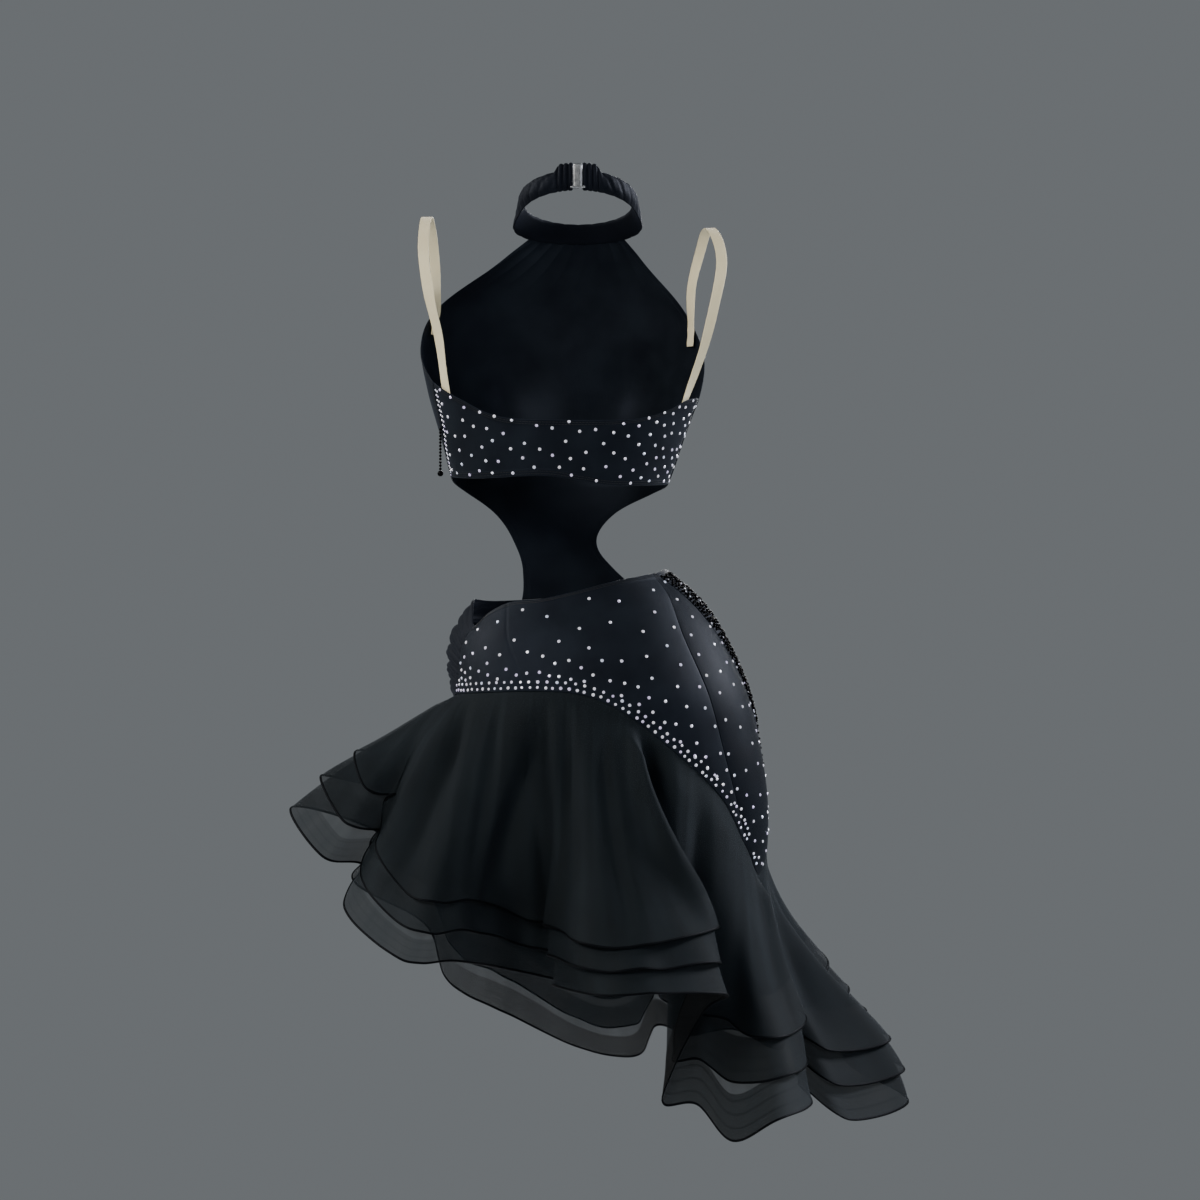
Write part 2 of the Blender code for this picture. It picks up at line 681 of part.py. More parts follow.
def ruffle_point(degrees, t, tier):
    """A point on a tier and its normal; the tiers spread apart towards the hem."""
    controls, out, _, _ = ruffle_ray(degrees)
    turn, drop = 0.4, 0.02
    across = on_ray(ruffle_ray(degrees + turn)[0], t) - on_ray(ruffle_ray(degrees - turn)[0], t)
    middle = max(t, drop)
    up = on_ray(controls, middle - drop) - on_ray(controls, middle + drop)
    steep = min(1, t / SEAM_TILT)
    normal = (out * (1 - steep) + across.cross(up).normalized() * steep).normalized()
    above = TIERS - tier
    lift = above * (TIER_PITCH + TIER_SPREAD * t)
    return on_ray(controls, t) + normal * lift, normal


def tier_hem(degrees, tier):
    _, _, length, step = ruffle_ray(degrees)
    return 1 - (TIERS - tier) * step / length


def make_ruffle_panel(tier, number, material, collection):
    first = PANEL_FROM + number * PANEL_COLUMNS * COLUMN_DEGREES
    span = PANEL_COLUMNS * COLUMN_DEGREES
    rows = TIER_ROWS + tier - 1

    def place(u, v):
        degrees = first + u * span
        level = round((1 - v) * rows)
        if level <= TIER_ROWS:
            t = tier_hem(degrees, 1) * level / TIER_ROWS
        else:
            t = tier_hem(degrees, level - TIER_ROWS + 1)
        point, normal = ruffle_point(degrees, t, tier)
        if u in (0, 1):
            near_turn = NEAR_TURN if u == 0 else -NEAR_TURN
            inwards = ruffle_point(degrees + near_turn, t, tier)[0] - point
            point += inwards.normalized() * SEAM_GAP / 2
        thick = normal * ORGANZA_WALL / 2
        return point - thick, point + thick

    cloth(f"ruffle_{tier}_{number + 1}", place, even(PANEL_COLUMNS), even(rows),
          material, collection)


# Materials and the whole dress

def make_material(name, color, roughness, metallic=0.0):
    material = bpy.data.materials.new(name)
    material.use_nodes = True
    shader = material.node_tree.nodes["Principled BSDF"]
    shader.inputs["Base Color"].default_value = (*color, 1)
    shader.inputs["Roughness"].default_value = roughness
    shader.inputs["Metallic"].default_value = metallic
    return material


def clear_scene():
    for item in list(bpy.data.objects):
        bpy.data.objects.remove(item, do_unlink=True)


def main():
    clear_scene()
    dress = bpy.data.collections.new("salsa dance dress")
    bpy.context.scene.collection.children.link(dress)
    jersey = make_material("black stretch jersey", (0.011, 0.011, 0.013), 0.62)
    ruched = make_material("black ruched jersey", (0.014, 0.014, 0.017), 0.55)
    organza = make_material("black organza", (0.016, 0.016, 0.018), 0.70)
    elastic = make_material("skin-tone elastic", (0.82, 0.72, 0.50), 0.60)
    metal = make_material("nickel-plated zinc", (0.72, 0.72, 0.73), 0.28, 1.0)
    beads = make_material("black glass beads", (0.008, 0.008, 0.010), 0.12)

    make_front(jersey, dress)
    make_back_band(jersey, dress)
    make_collar(ruched, dress)
    make_clasp(metal, dress)
    make_strap("strap_left", STRAP_LEFT_BACK, STRAP_LEFT, STRAP_LEFT_FRONT, elastic, dress)
    make_strap("strap_right", STRAP_RIGHT_BACK, STRAP_RIGHT, STRAP_RIGHT_FRONT, elastic, dress)
    make_bead_strand(beads, dress)
    make_skirt(jersey, dress)
    make_hip_band(ruched, dress)
    make_hip_drape(ruched, dress)
    for tier in range(1, TIERS + 1):
        for number in range(PANELS):
            make_ruffle_panel(tier, number, organza, dress)


main()
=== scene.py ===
"""Salsa dance dress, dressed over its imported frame.

Metres, +Z up. The back of the dress faces -Y and the wearer's right is +X. Degrees run
anticlockwise round the figure as seen from above: 0 is the wearer's right, 90 the front,
180 the left and 270 the back. Every piece keeps the place of the solid it stands for.
"""

import logging
import math
from dataclasses import dataclass, field
from enum import Enum
from functools import partial
from typing import Callable, ClassVar, Mapping, Optional, Sequence

import bpy
import numpy as np
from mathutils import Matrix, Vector


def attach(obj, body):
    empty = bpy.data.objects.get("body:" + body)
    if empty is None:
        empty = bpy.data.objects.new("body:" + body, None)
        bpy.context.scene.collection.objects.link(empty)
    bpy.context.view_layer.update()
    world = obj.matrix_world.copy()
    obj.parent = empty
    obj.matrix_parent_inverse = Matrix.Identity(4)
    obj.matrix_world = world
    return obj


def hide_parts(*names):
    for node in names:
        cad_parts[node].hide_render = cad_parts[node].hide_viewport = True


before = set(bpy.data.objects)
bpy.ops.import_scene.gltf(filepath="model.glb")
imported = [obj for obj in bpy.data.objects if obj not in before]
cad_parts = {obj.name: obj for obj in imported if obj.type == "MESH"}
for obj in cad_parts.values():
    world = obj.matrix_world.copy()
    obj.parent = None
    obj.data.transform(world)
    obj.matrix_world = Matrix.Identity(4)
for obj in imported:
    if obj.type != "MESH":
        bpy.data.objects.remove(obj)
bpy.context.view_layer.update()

LOG = logging.getLogger("dance dress")
Array = np.ndarray
Material = bpy.types.Material
Piece = bpy.types.Object
Socket = bpy.types.NodeSocket
Edge = Callable[[Array], Array]
MM = 0.001
FULL_TURN = 360.0
BACK = 270.0
CLOTH_UV = "cloth"
BODY = "root"


# Smooth curves through short tables

def smooth(table: Array, at: Array) -> Array:
    """Read the other columns of a table at values of its first column.

    Args:
        table: rows sorted by their first column.
        at: values of the first column, of any shape.

    Returns:
        The other columns, along a new last axis.
    """
    keys, values = table[:, 0], table[:, 1:]
    at = np.clip(np.asarray(at, dtype=float), keys[0], keys[-1])
    low = np.clip(np.searchsorted(keys, at, side="right") - 1, 0, len(keys) - 2)
    order = np.arange(len(keys))
    before, after = np.maximum(order - 1, 0), np.minimum(order + 1, len(keys) - 1)
    slopes = (values[after] - values[before]) / (keys[after] - keys[before])[:, None]
    step = (keys[low + 1] - keys[low])[..., None]
    t = (at - keys[low])[..., None] / step
    return (values[low] * (2 * t**3 - 3 * t**2 + 1) + slopes[low] * step * (t**3 - 2 * t**2 + t)
            + values[low + 1] * (3 * t**2 - 2 * t**3) + slopes[low + 1] * step * (t**3 - t**2))


def smooth_round(table: Array, degrees: Array) -> Array:
    """Read a table of degrees that closes on itself.

    Args:
        table: rows sorted by degrees, within one turn.
        degrees: where to read it.

    Returns:
        The other columns, along a new last axis.
    """
    first, wrap = table[0, 0], 3
    turn = np.array([FULL_TURN] + [0.0] * (table.shape[1] - 1))
    closed = np.vstack((table[-wrap:] - turn, table, table[:wrap] + turn))
    return smooth(closed, first + (np.asarray(degrees, dtype=float) - first) % FULL_TURN)


def ease(low: float, high: float, value: Array) -> Array:
    """Rise softly from 0 at low to 1 at high."""
    t = np.clip((value - low) / (high - low), 0, 1)
    return t * t * (3 - 2 * t)


def bump(value: Array, middle: float, width: float) -> Array:
    """A soft hump of height 1."""
    return np.exp(-((value - middle) / width)**2)


def unit(vectors: Array) -> Array:
    """Vectors of length 1 along the last axis."""
    return vectors / np.maximum(np.linalg.norm(vectors, axis=-1, keepdims=True), 1e-12)


def ripples(u: Array, v: Array, seed: int, across: float, up: float, count: int = 7) -> Array:
    """Uneven waves over a cloth, about -1 to 1.

    Args:
        u: shares of the width.
        v: shares of the height.
        seed: fixes the waves.
        across: most waves over the width.
        up: most waves over the height.
        count: number of waves added up.

    Returns:
        The waves' height at each point.
    """
    dice = np.random.default_rng(seed)
    total = np.zeros(np.broadcast(u, v).shape)
    for _ in range(count):
        along_u, along_v = dice.uniform(-across, across), dice.uniform(0.3, 1) * up
        total = total + np.sin(2 * np.pi * (along_u * u + along_v * v + dice.uniform()))
    return total / math.sqrt(count)


def along(points: Sequence[Sequence[float]]) -> Edge:
    """The smooth curve through a few (degrees, height) points, read by shares of it."""
    rows = np.array([(k, *point) for k, point in enumerate(points)], dtype=float)
    return lambda t: smooth(rows, np.asarray(t) * (len(points) - 1))


def chain(*curves: Sequence[Sequence[float]]) -> Edge:
    """Join curves end to end; each takes a share by its number of steps.

    Args:
        curves: lists of (degrees, height) points.

    Returns:
        The joined edge.
    """
    steps = [len(curve) - 1 for curve in curves]
    starts = np.cumsum([0] + steps)

    def read(t: Array) -> Array:
        """Points at shares of the whole chain."""
        at = np.asarray(t, dtype=float) * starts[-1]
        result = np.zeros(at.shape + (2,))
        for k, curve in enumerate(curves):
            inside = (at >= starts[k]) if k == len(curves) - 1 else (
                (at >= starts[k]) & (at < starts[k + 1]))
            share = np.clip((at - starts[k]) / steps[k], 0, 1)
            result = np.where(inside[..., None], along(curve)(share), result)
        return result

    return read


def patch(bottom: Edge, top: Edge, left: Edge, right: Edge) -> Callable[[Array, Array], Array]:
    """Fill four (degrees, height) edges; v runs up and u from the right edge to the left.

    Args:
        bottom, top, left, right: the edges, which meet at the corners.

    Returns:
        (degrees, height) at shares u and v.
    """
    ends = np.array([0.0, 1.0])
    low_corners, high_corners = bottom(ends), top(ends)

    def read(u: Array, v: Array) -> Array:
        """Points at shares across and up."""
        a, b = np.asarray(u)[..., None], np.asarray(v)[..., None]
        return ((1 - b) * bottom(u) + b * top(u) + (1 - a) * right(v) + a * left(v)
                - (1 - a) * (1 - b) * low_corners[0] - a * (1 - b) * low_corners[1]
                - (1 - a) * b * high_corners[0] - a * b * high_corners[1])

    return read


# The figure and the seams that the pieces share

@dataclass(frozen=True)
class Figure:
    """The general figure that the dress is cut for: level sections, wider than deep.

    Each ring is its height, the middle in X, the half width, the middle in Y, and the
    depths behind and in front.
    """

    rings: tuple = (
        (-0.760, 0.038, 0.163, 0.000, 0.095, 0.095), (-0.715, 0.040, 0.167, 0.000, 0.108, 0.098),
        (-0.660, 0.038, 0.168, -0.002, 0.120, 0.102), (-0.605, 0.032, 0.165, -0.005, 0.127, 0.108),
        (-0.550, 0.025, 0.158, -0.008, 0.124, 0.112), (-0.495, 0.014, 0.144, -0.006, 0.108, 0.114),
        (-0.451, 0.009, 0.121, 0.000, 0.090, 0.110), (-0.418, -0.008, 0.105, 0.006, 0.080, 0.100),
        (-0.385, -0.024, 0.097, 0.010, 0.074, 0.092), (-0.352, -0.024, 0.106, 0.010, 0.078, 0.095),
        (-0.319, -0.019, 0.118, 0.008, 0.086, 0.100), (-0.264, -0.017, 0.135, 0.004, 0.092, 0.108),
        (-0.220, -0.015, 0.149, 0.000, 0.092, 0.112), (-0.173, -0.014, 0.157, 0.000, 0.092, 0.108),
        (-0.120, -0.010, 0.150, 0.004, 0.088, 0.094), (-0.070, -0.004, 0.110, 0.007, 0.074, 0.064),
        (-0.030, 0.000, 0.066, 0.008, 0.060, 0.052), (0.000, 0.000, 0.057, 0.007, 0.056, 0.050),
        (0.040, 0.000, 0.053, 0.012, 0.054, 0.048),
    )
    power: float = 2.3
    cup_side: float = 0.078
    cup_height: float = -0.222
    cup_depth: float = 0.026
    cup_spread: float = 0.052

    def surface(self, degrees: Array, height: Array) -> Array:
        """Points on the figure itself.

        Args:
            degrees, height: where, round and up.

        Returns:
            One point for each place.
        """
        degrees, height = np.broadcast_arrays(np.asarray(degrees, float),
                                              np.asarray(height, float))
        middle_x, half_width, side_y, back, front = np.moveaxis(
            smooth(np.array(self.rings), height), -1, 0)
        across, deep = np.cos(np.radians(degrees)), np.sin(np.radians(degrees))
        swell = (np.abs(across)**self.power + np.abs(deep)**self.power)**(-1 / self.power)
        x = middle_x + half_width * across * swell
        y = side_y + np.where(deep > 0, front, back) * deep * swell
        for side in (-self.cup_side, self.cup_side):
            away = ((x - middle_x - side)**2 + (height - self.cup_height)**2) / self.cup_spread**2
            y = y + np.where(deep > 0, self.cup_depth * deep * np.exp(-away), 0)
        return np.stack((x, y, height), axis=-1)

    def normal(self, degrees: Array, height: Array) -> Array:
        """Straight out of the figure."""
        turn, rise = 0.5, 2 * MM
        across = self.surface(degrees + turn, height) - self.surface(degrees - turn, height)
        up = self.surface(degrees, height + rise) - self.surface(degrees, height - rise)
        return unit(np.cross(across, up))

    def point(self, degrees: Array, height: Array, lift: Array = 0.0) -> Array:
        """Points that lie a distance off the figure."""
        return (self.surface(degrees, height)
                + self.normal(degrees, height) * np.asarray(lift, dtype=float)[..., None])


FIGURE = Figure()
WAIST = np.array((
    (210, -0.479), (218, -0.465), (230, -0.454), (248, -0.450), (269, -0.441), (295, -0.430),
    (325, -0.422), (345, -0.418), (384, -0.424), (420, -0.438), (450, -0.446), (500, -0.452),
    (540, -0.451), (556, -0.463)))
RUFFLE_SEAM = np.array((
    (180, -0.557), (218, -0.551), (254, -0.549), (269, -0.558), (283, -0.583), (311, -0.662),
    (324, -0.716), (341, -0.750), (358, -0.715), (380, -0.675), (410, -0.645), (450, -0.615),
    (500, -0.580)))
DRAPE_SEAM = ((198, -0.5535), (198.5, -0.530), (200.5, -0.505), (209, -0.4785))
PRINCESS_SEAM = ((324, -0.7163), (317, -0.645), (314, -0.560), (312.5, -0.480), (320, -0.4232))
BAND_INNER = ((369, -0.6930), (364, -0.605), (355, -0.545), (341, -0.480), (323, -0.4224))
BAND_OUTER = ((384, -0.6700), (381, -0.600), (374, -0.545), (363, -0.480), (350, -0.4182))
WAIST_CUT_LEFT = ((125, -0.4502), (118, -0.395), (128, -0.355), (152, -0.330), (185, -0.3155))
SIDE_SEAM_LEFT = ((185, -0.3155), (200, -0.264), (204.5, -0.2135))
ARMHOLE_LEFT = ((204.5, -0.2135), (182, -0.173), (158, -0.130), (138, -0.088), (125, -0.0545))
WAIST_CUT_RIGHT = ((60, -0.4372), (65, -0.395), (55, -0.355), (30, -0.332), (0, -0.323))
SIDE_SEAM_RIGHT = ((0, -0.323), (0, -0.275), (0, -0.2293))
ARMHOLE_RIGHT = ((0, -0.2293), (14, -0.190), (33, -0.140), (47, -0.090), (55, -0.0545))
BACK_TOP = ((204.5, -0.2135), (223, -0.233), (242, -0.253), (269, -0.257), (301, -0.256),
            (319, -0.246), (335, -0.232), (360, -0.2293))
BACK_BOTTOM = ((185, -0.3155), (225, -0.319), (260, -0.317), (281, -0.322), (303, -0.327),
               (360, -0.323))


def waist(degrees: Array) -> Array:
    """Height of the skirt's upper edge."""
    return smooth_round(WAIST, degrees)[..., 0]


def ruffle_seam(degrees: Array) -> Array:
    """Height of the seam that the ruffles hang from."""
    return smooth_round(RUFFLE_SEAM, degrees)[..., 0]


def level_edge(first: float, last: float, height: Callable[[Array], Array]) -> Edge:
    """An edge that follows a height from one place round to another.

    Args:
        first, last: where it starts and ends, in degrees.
        height: gives the height at an angle.

    Returns:
        The edge.
    """
    def read(u: Array) -> Array:
        """Points at shares of the edge."""
        degrees = first + np.asarray(u) * (last - first)
        return np.stack((degrees, height(degrees)), axis=-1)

    return read


# Meshes

@dataclass
class Cloth:
    """Points, faces and cloth coordinates of one piece, in metres."""

    points: Array
    faces: list
    uv: Optional[Array] = None

    def piece(self, name: str, material: Material, smooth_faces: bool = True) -> Piece:
        """Make the object.

        Args:
            name: the piece's name.
            material: its finish.
            smooth_faces: false for cut facets.

        Returns:
            The new object, at the origin.
        """
        mesh = bpy.data.meshes.new(name)
        mesh.from_pydata(self.points.reshape(-1, 3).tolist(), [], self.faces)
        if self.uv is not None:
            layer = mesh.uv_layers.new(name=CLOTH_UV)
            corners = np.empty(len(mesh.loops), dtype=np.int64)
            mesh.loops.foreach_get("vertex_index", corners)
            layer.data.foreach_set("uv", self.uv.reshape(-1, 2)[corners].ravel())
        mesh.polygons.foreach_set("use_smooth", [smooth_faces] * len(mesh.polygons))
        mesh.materials.append(material)
        mesh.validate()
        piece = bpy.data.objects.new(name, mesh)
        bpy.context.scene.collection.objects.link(piece)
        return piece


def grid_faces(columns: int, rows: int, start: int = 0, flip: bool = False) -> list:
    """Quads of a grid whose points run row by row within each column.

    Args:
        columns: points across.
        rows: points up.
        start: index of the first point.
        flip: turn the faces over.

    Returns:
        Faces as lists of indices.
    """
    index = np.arange(columns * rows).reshape(columns, rows) + start
    quads = np.stack((index[:-1, :-1], index[1:, :-1], index[1:, 1:], index[:-1, 1:]), -1)
    quads = quads.reshape(-1, 4)
    return (quads[:, ::-1] if flip else quads).tolist()


def run_length(points: Array) -> Array:
    """Distance run along a line of points, from 0."""
    return np.append(0, np.cumsum(np.linalg.norm(np.diff(points, axis=0), axis=-1)))


def flat_map(grid: Array) -> Array:
    """Cloth coordinates in metres for a grid of points: how it lies when flat."""
    across, up = (np.append(0, np.cumsum(np.linalg.norm(
        np.diff(grid, axis=axis), axis=-1).mean(axis=1 - axis))) for axis in (0, 1))
    return np.stack(np.meshgrid(across, up, indexing="ij"), axis=-1)


def shell(inner: Array, outer: Array) -> Cloth:
    """A cloth with a wall and round edges, from the grids of its two faces.

    Args:
        inner, outer: rows of points, of the same count.

    Returns:
        The closed mesh.
    """
    columns, rows = inner.shape[:2]
    across = outer[1:, :-1] - outer[:-1, :-1]
    up = outer[:-1, 1:] - outer[:-1, :-1]
    out = (outer - inner)[:-1, :-1]
    flip = bool(np.sum(np.cross(across, up) * out) < 0)
    index = np.arange(columns * rows).reshape(columns, rows)
    rim = np.concatenate((index[:, 0], index[-1, 1:], index[-2::-1, -1], index[0, -2:0:-1]))
    near_u = np.clip(rim // rows, 1, columns - 2)
    near_v = np.clip(rim % rows, 1, rows - 2)
    flat_inner, flat_outer = inner.reshape(-1, 3), outer.reshape(-1, 3)
    middle = (flat_inner[rim] + flat_outer[rim]) / 2
    near = ((inner + outer) / 2)[near_u, near_v]
    wall = np.linalg.norm(flat_outer[rim] - flat_inner[rim], axis=-1, keepdims=True)
    edge = middle + unit(middle - near) * wall / 2
    count = columns * rows
    faces = grid_faces(columns, rows, 0, not flip) + grid_faces(columns, rows, count, flip)
    size = len(rim)
    for k in range(size):
        here, after = int(rim[k]), int(rim[(k + 1) % size])
        low, high = 2 * count + k, 2 * count + (k + 1) % size
        sides = ((here, after, high, low), (low, high, count + after, count + here))
        faces += [side[::-1] if flip else side for side in sides]
    flat = flat_map((inner + outer) / 2).reshape(-1, 2)
    return Cloth(np.concatenate((flat_inner, flat_outer, edge)), faces,
                 np.concatenate((flat, flat, flat[rim])))


def tube(sections: Array, closed: bool = False) -> Cloth:
    """Join closed sections of equally many points, and fill the two at the ends.

    Args:
        sections: (stations, points, 3).
        closed: join the last station to the first instead.

    Returns:
        The body, its faces outwards for sections that run anticlockwise ahead.
    """
    stations, count = sections.shape[:2]
    index = np.arange(stations * count).reshape(stations, count)
    after, right = np.roll(index, -1, axis=0), np.roll(index, -1, axis=1)
    quads = np.stack((index, right, np.roll(after, -1, axis=1), after), -1)
    faces = quads[:stations if closed else -1].reshape(-1, 4).tolist()
    if not closed:
        faces += [index[0, ::-1].tolist(), index[-1].tolist()]
    flat = flat_map(np.concatenate((sections, sections[:, :1]), axis=1))
    return Cloth(sections, faces, flat[:, :-1])


def seat(piece: Piece, slot: str, nodes: Sequence[str] = ()) -> Piece:
    """Fix a finished piece to the frame and report it.

    Args:
        piece: the finished piece.
        slot: material slot of the record; not used.
        nodes: solids that it stands for.

    Returns:
        The same piece.
    """
    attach(piece, BODY)
    if nodes:
        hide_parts(*nodes)
    LOG.info("%s: %d faces", piece.name, len(piece.data.polygons))
    return piece


# Nodes

Node = bpy.types.Node
Adder = Callable[..., Node]


def connect(node: Node, links: Mapping) -> None:
    """Fill a node's inputs.

    Args:
        node: the node.
        links: for each named or numbered input a value, an output socket, or a node whose
            first output is meant.
    """
    for key, value in links.items():
        source = value.outputs[0] if isinstance(value, Node) else value
        if isinstance(source, Socket):
            node.id_data.links.new(source, node.inputs[key])
        else:
            node.inputs[key].default_value = source


def add_node(tree: bpy.types.NodeTree, kind: str, links: Optional[Mapping] = None,
             **settings: object) -> Node:
    """Add a node with its settings and links.

    Args:
        tree: the tree that it goes in.
        kind: the node's type.
        links: what goes into its inputs, as for connect.
        settings: the node's own properties.

    Returns:
        The new node.
    """
    node = tree.nodes.new(kind)
    for name, value in settings.items():
        setattr(node, name, value)
    connect(node, links or {})
    return node


def linear(code: str) -> tuple[float, float, float, float]:
    """An sRGB hex colour as linear red, green, blue and alpha."""
    parts = [int(code[k:k + 2], 16) / 255 for k in (1, 3, 5)]
    return (*[c / 12.92 if c <= 0.04045 else ((c + 0.055) / 1.055)**2.4 for c in parts], 1.0)


def wave_scale(spacing: float) -> float:
    """Scale of a Wave texture whose bands lie a distance apart."""
    return 2 * math.pi / 20 / spacing


# Finishes

@dataclass(frozen=True)
class Finish:
    """What every finish has: its name, two tones, and a tree round its main shader."""

    name: str
    dark: str
    light: str

    def make(self) -> Material:
        """Build the material.

        Returns:
            The finished material.
        """
        material = bpy.data.materials.new(self.name)
        material.use_nodes = True
        tree = material.node_tree
        add = partial(add_node, tree)
        place = add("ShaderNodeTexCoord").outputs["Object"]
        self.build(add, tree.nodes["Principled BSDF"], place)
        return material

    def build(self, add: Adder, shader: Node, place: Socket) -> None:
        """Fill the tree.

        Args:
            add: adds a node to the tree.
            shader: its Principled BSDF.
            place: the point on the piece, in object coordinates.
        """
        raise NotImplementedError

    def between(self, add: Adder, share: Node) -> Socket:
        """The tone that lies a share of the way from dark to light."""
        return add("ShaderNodeMix", {0: share, 6: linear(self.dark), 7: linear(self.light)},
                   data_type="RGBA").outputs[2]

    def patches(self, add: Adder, place: Socket, size: float, detail: float,
                low: float = 0.3, high: float = 0.7) -> tuple[Node, Socket]:
        """The two tones in soft patches.

        Args:
            add: adds a node to the tree.
            place: the point on the piece.
            size: how far across a patch is.
            detail: detail of the noise.
            low: noise that gives the dark tone.
            high: noise that gives the light tone.

        Returns:
            The noise and the tone.
        """
        noise = add("ShaderNodeTexNoise", {"Vector": place, "Scale": 1 / size, "Detail": detail})
        return noise, self.between(add, add("ShaderNodeMapRange", {0: noise, 1: low, 2: high}))


@dataclass(frozen=True)
class Jersey(Finish):
    """Warp-knitted polyamide with elastane: close, fine wales and a soft bloom at grazing light.

    Real wales lie 0.4 mm apart; they are drawn wider so that they show.
    """

    roughness: float = 0.46
    specular: float = 0.17
    specular_color: str = "#a9b6d8"
    sheen: float = 0.08
    sheen_color: str = "#727c99"
    wale: float = 0.9 * MM
    grain: float = 1.4 * MM
    patch: float = 45 * MM

    def build(self, add: Adder, shader: Node, place: Socket) -> None:
        """Knit wales and courses over slow patches of tone.

        Args:
            add, shader, place: as in Finish.build.
        """
        flat = add("ShaderNodeUVMap", uv_map=CLOTH_UV)
        tone = self.patches(add, place, self.patch, 3.0)[1]
        grain = add("ShaderNodeTexNoise",
                    {"Vector": place, "Scale": 1 / self.grain, "Detail": 2.0})
        wales = add("ShaderNodeTexWave", {"Vector": flat, "Scale": wave_scale(self.wale),
                                          "Distortion": 0.6, "Detail": 1.0})
        courses = add("ShaderNodeTexWave", {"Vector": flat, "Distortion": 0.4,
                                            "Scale": wave_scale(self.wale * 0.8)},
                      bands_direction="Y")
        thread = add("ShaderNodeMath", {0: wales.outputs["Fac"], 1: courses.outputs["Fac"]},
                     operation="MULTIPLY")
        raised = add("ShaderNodeMapRange", {0: thread, 4: 0.35})
        tone = add("ShaderNodeMix", {0: raised, 6: tone, 7: linear(self.light)},
                   data_type="RGBA")
        height = add("ShaderNodeMath", {0: grain, 1: 0.5, 2: thread}, operation="MULTIPLY_ADD")
        connect(shader, {
            "Base Color": tone.outputs[2],
            "Roughness": add("ShaderNodeMapRange", {
                0: grain, 1: 0.3, 2: 0.7, 3: self.roughness - 0.06, 4: self.roughness + 0.08}),
            "Normal": add("ShaderNodeBump", {
                "Strength": 0.35, "Distance": 0.25 * MM, "Height": height}),
            "Sheen Weight": self.sheen,
            "Sheen Roughness": 0.45,
            "Sheen Tint": linear(self.sheen_color),
            "Specular IOR Level": self.specular,
            "Specular Tint": linear(self.specular_color)})


@dataclass(frozen=True)
class Sheer(Finish):
    """A see-through cloth; cover is how much it hides at either end of spread along X."""

    cover: tuple = (0.5, 0.5)
    spread: tuple = (-0.16, 0.10)

    def hidden(self, add: Adder, place: Socket) -> Node:
        """How much the cloth hides, before its weave."""
        return add("ShaderNodeMapRange", {
            0: add("ShaderNodeSeparateXYZ", {0: place}), 1: self.spread[0], 2: self.spread[1],
            3: self.cover[0], 4: self.cover[1]})


@dataclass(frozen=True)
class Organza(Sheer):
    """Plain-woven nylon organza: sheer, crisp and faintly glossy, with an uneven density.

    Gathers close it up at the seam. Real threads lie 0.3 mm apart; they are drawn wider so
    that they show close by.
    """

    cover: tuple = (0.62, 0.66)
    gathered_cover: float = 0.84
    gathers: float = 200 * MM
    thread: float = 1.1 * MM
    cloud: float = 80 * MM
    streak: float = 13 * MM
    streak_length: float = 0.07

    def build(self, add: Adder, shader: Node, place: Socket) -> None:
        """Weave threads whose density drifts in clouds and in streaks down the cloth.

        Args:
            add, shader, place: as in Finish.build.
        """
        flat = add("ShaderNodeUVMap", uv_map=CLOTH_UV)
        drawn = add("ShaderNodeMapping",
                    {"Vector": flat, "Scale": (1.0, self.streak_length, 1.0)})
        halves = {}
        for k, (at, size, detail) in enumerate(((place, self.cloud, 4.0),
                                                (drawn, self.streak, 3.0))):
            noise = add("ShaderNodeTexNoise",
                        {"Vector": at, "Scale": 1 / size, "Detail": detail})
            halves[k] = add("ShaderNodeMapRange", {0: noise, 1: 0.3, 2: 0.7, 4: 0.5})
        mottle = add("ShaderNodeMath", halves, operation="ADD")
        bands = {k: add("ShaderNodeTexWave", {
            "Vector": flat, "Scale": wave_scale(self.thread), "Distortion": 0.5,
            "Detail": 1.0}, bands_direction=way).outputs["Fac"] for k, way in enumerate("XY")}
        threads = add("ShaderNodeMath", bands, operation="MAXIMUM")
        down = add("ShaderNodeSeparateXYZ", {0: flat}).outputs[1]
        hem = self.hidden(add, place)
        uneven = add("ShaderNodeMath", {
            0: add("ShaderNodeMapRange", {0: threads, 3: -0.02, 4: 0.02}),
            1: add("ShaderNodeMapRange", {0: mottle, 3: -0.11, 4: 0.11})}, operation="ADD")
        gathered = add("ShaderNodeMapRange", {0: down, 2: self.gathers, 3: 1.0, 4: 0.0})
        room = add("ShaderNodeMath", {0: self.gathered_cover, 1: hem}, operation="SUBTRACT")
        even = add("ShaderNodeMath", {0: gathered, 1: room, 2: hem}, operation="MULTIPLY_ADD")
        connect(shader, {
            "Base Color": self.between(add, mottle),
            "Alpha": add("ShaderNodeMath", {0: uneven, 1: even}, operation="ADD"),
            "Normal": add("ShaderNodeBump", {
                "Strength": 0.008, "Distance": 0.15 * MM, "Height": threads}),
            "Roughness": 0.8,
            "Specular IOR Level": 0.13,
            "Sheen Weight": 0.08,
            "Sheen Roughness": 0.4,
            "Sheen Tint": linear("#8a91a0")})


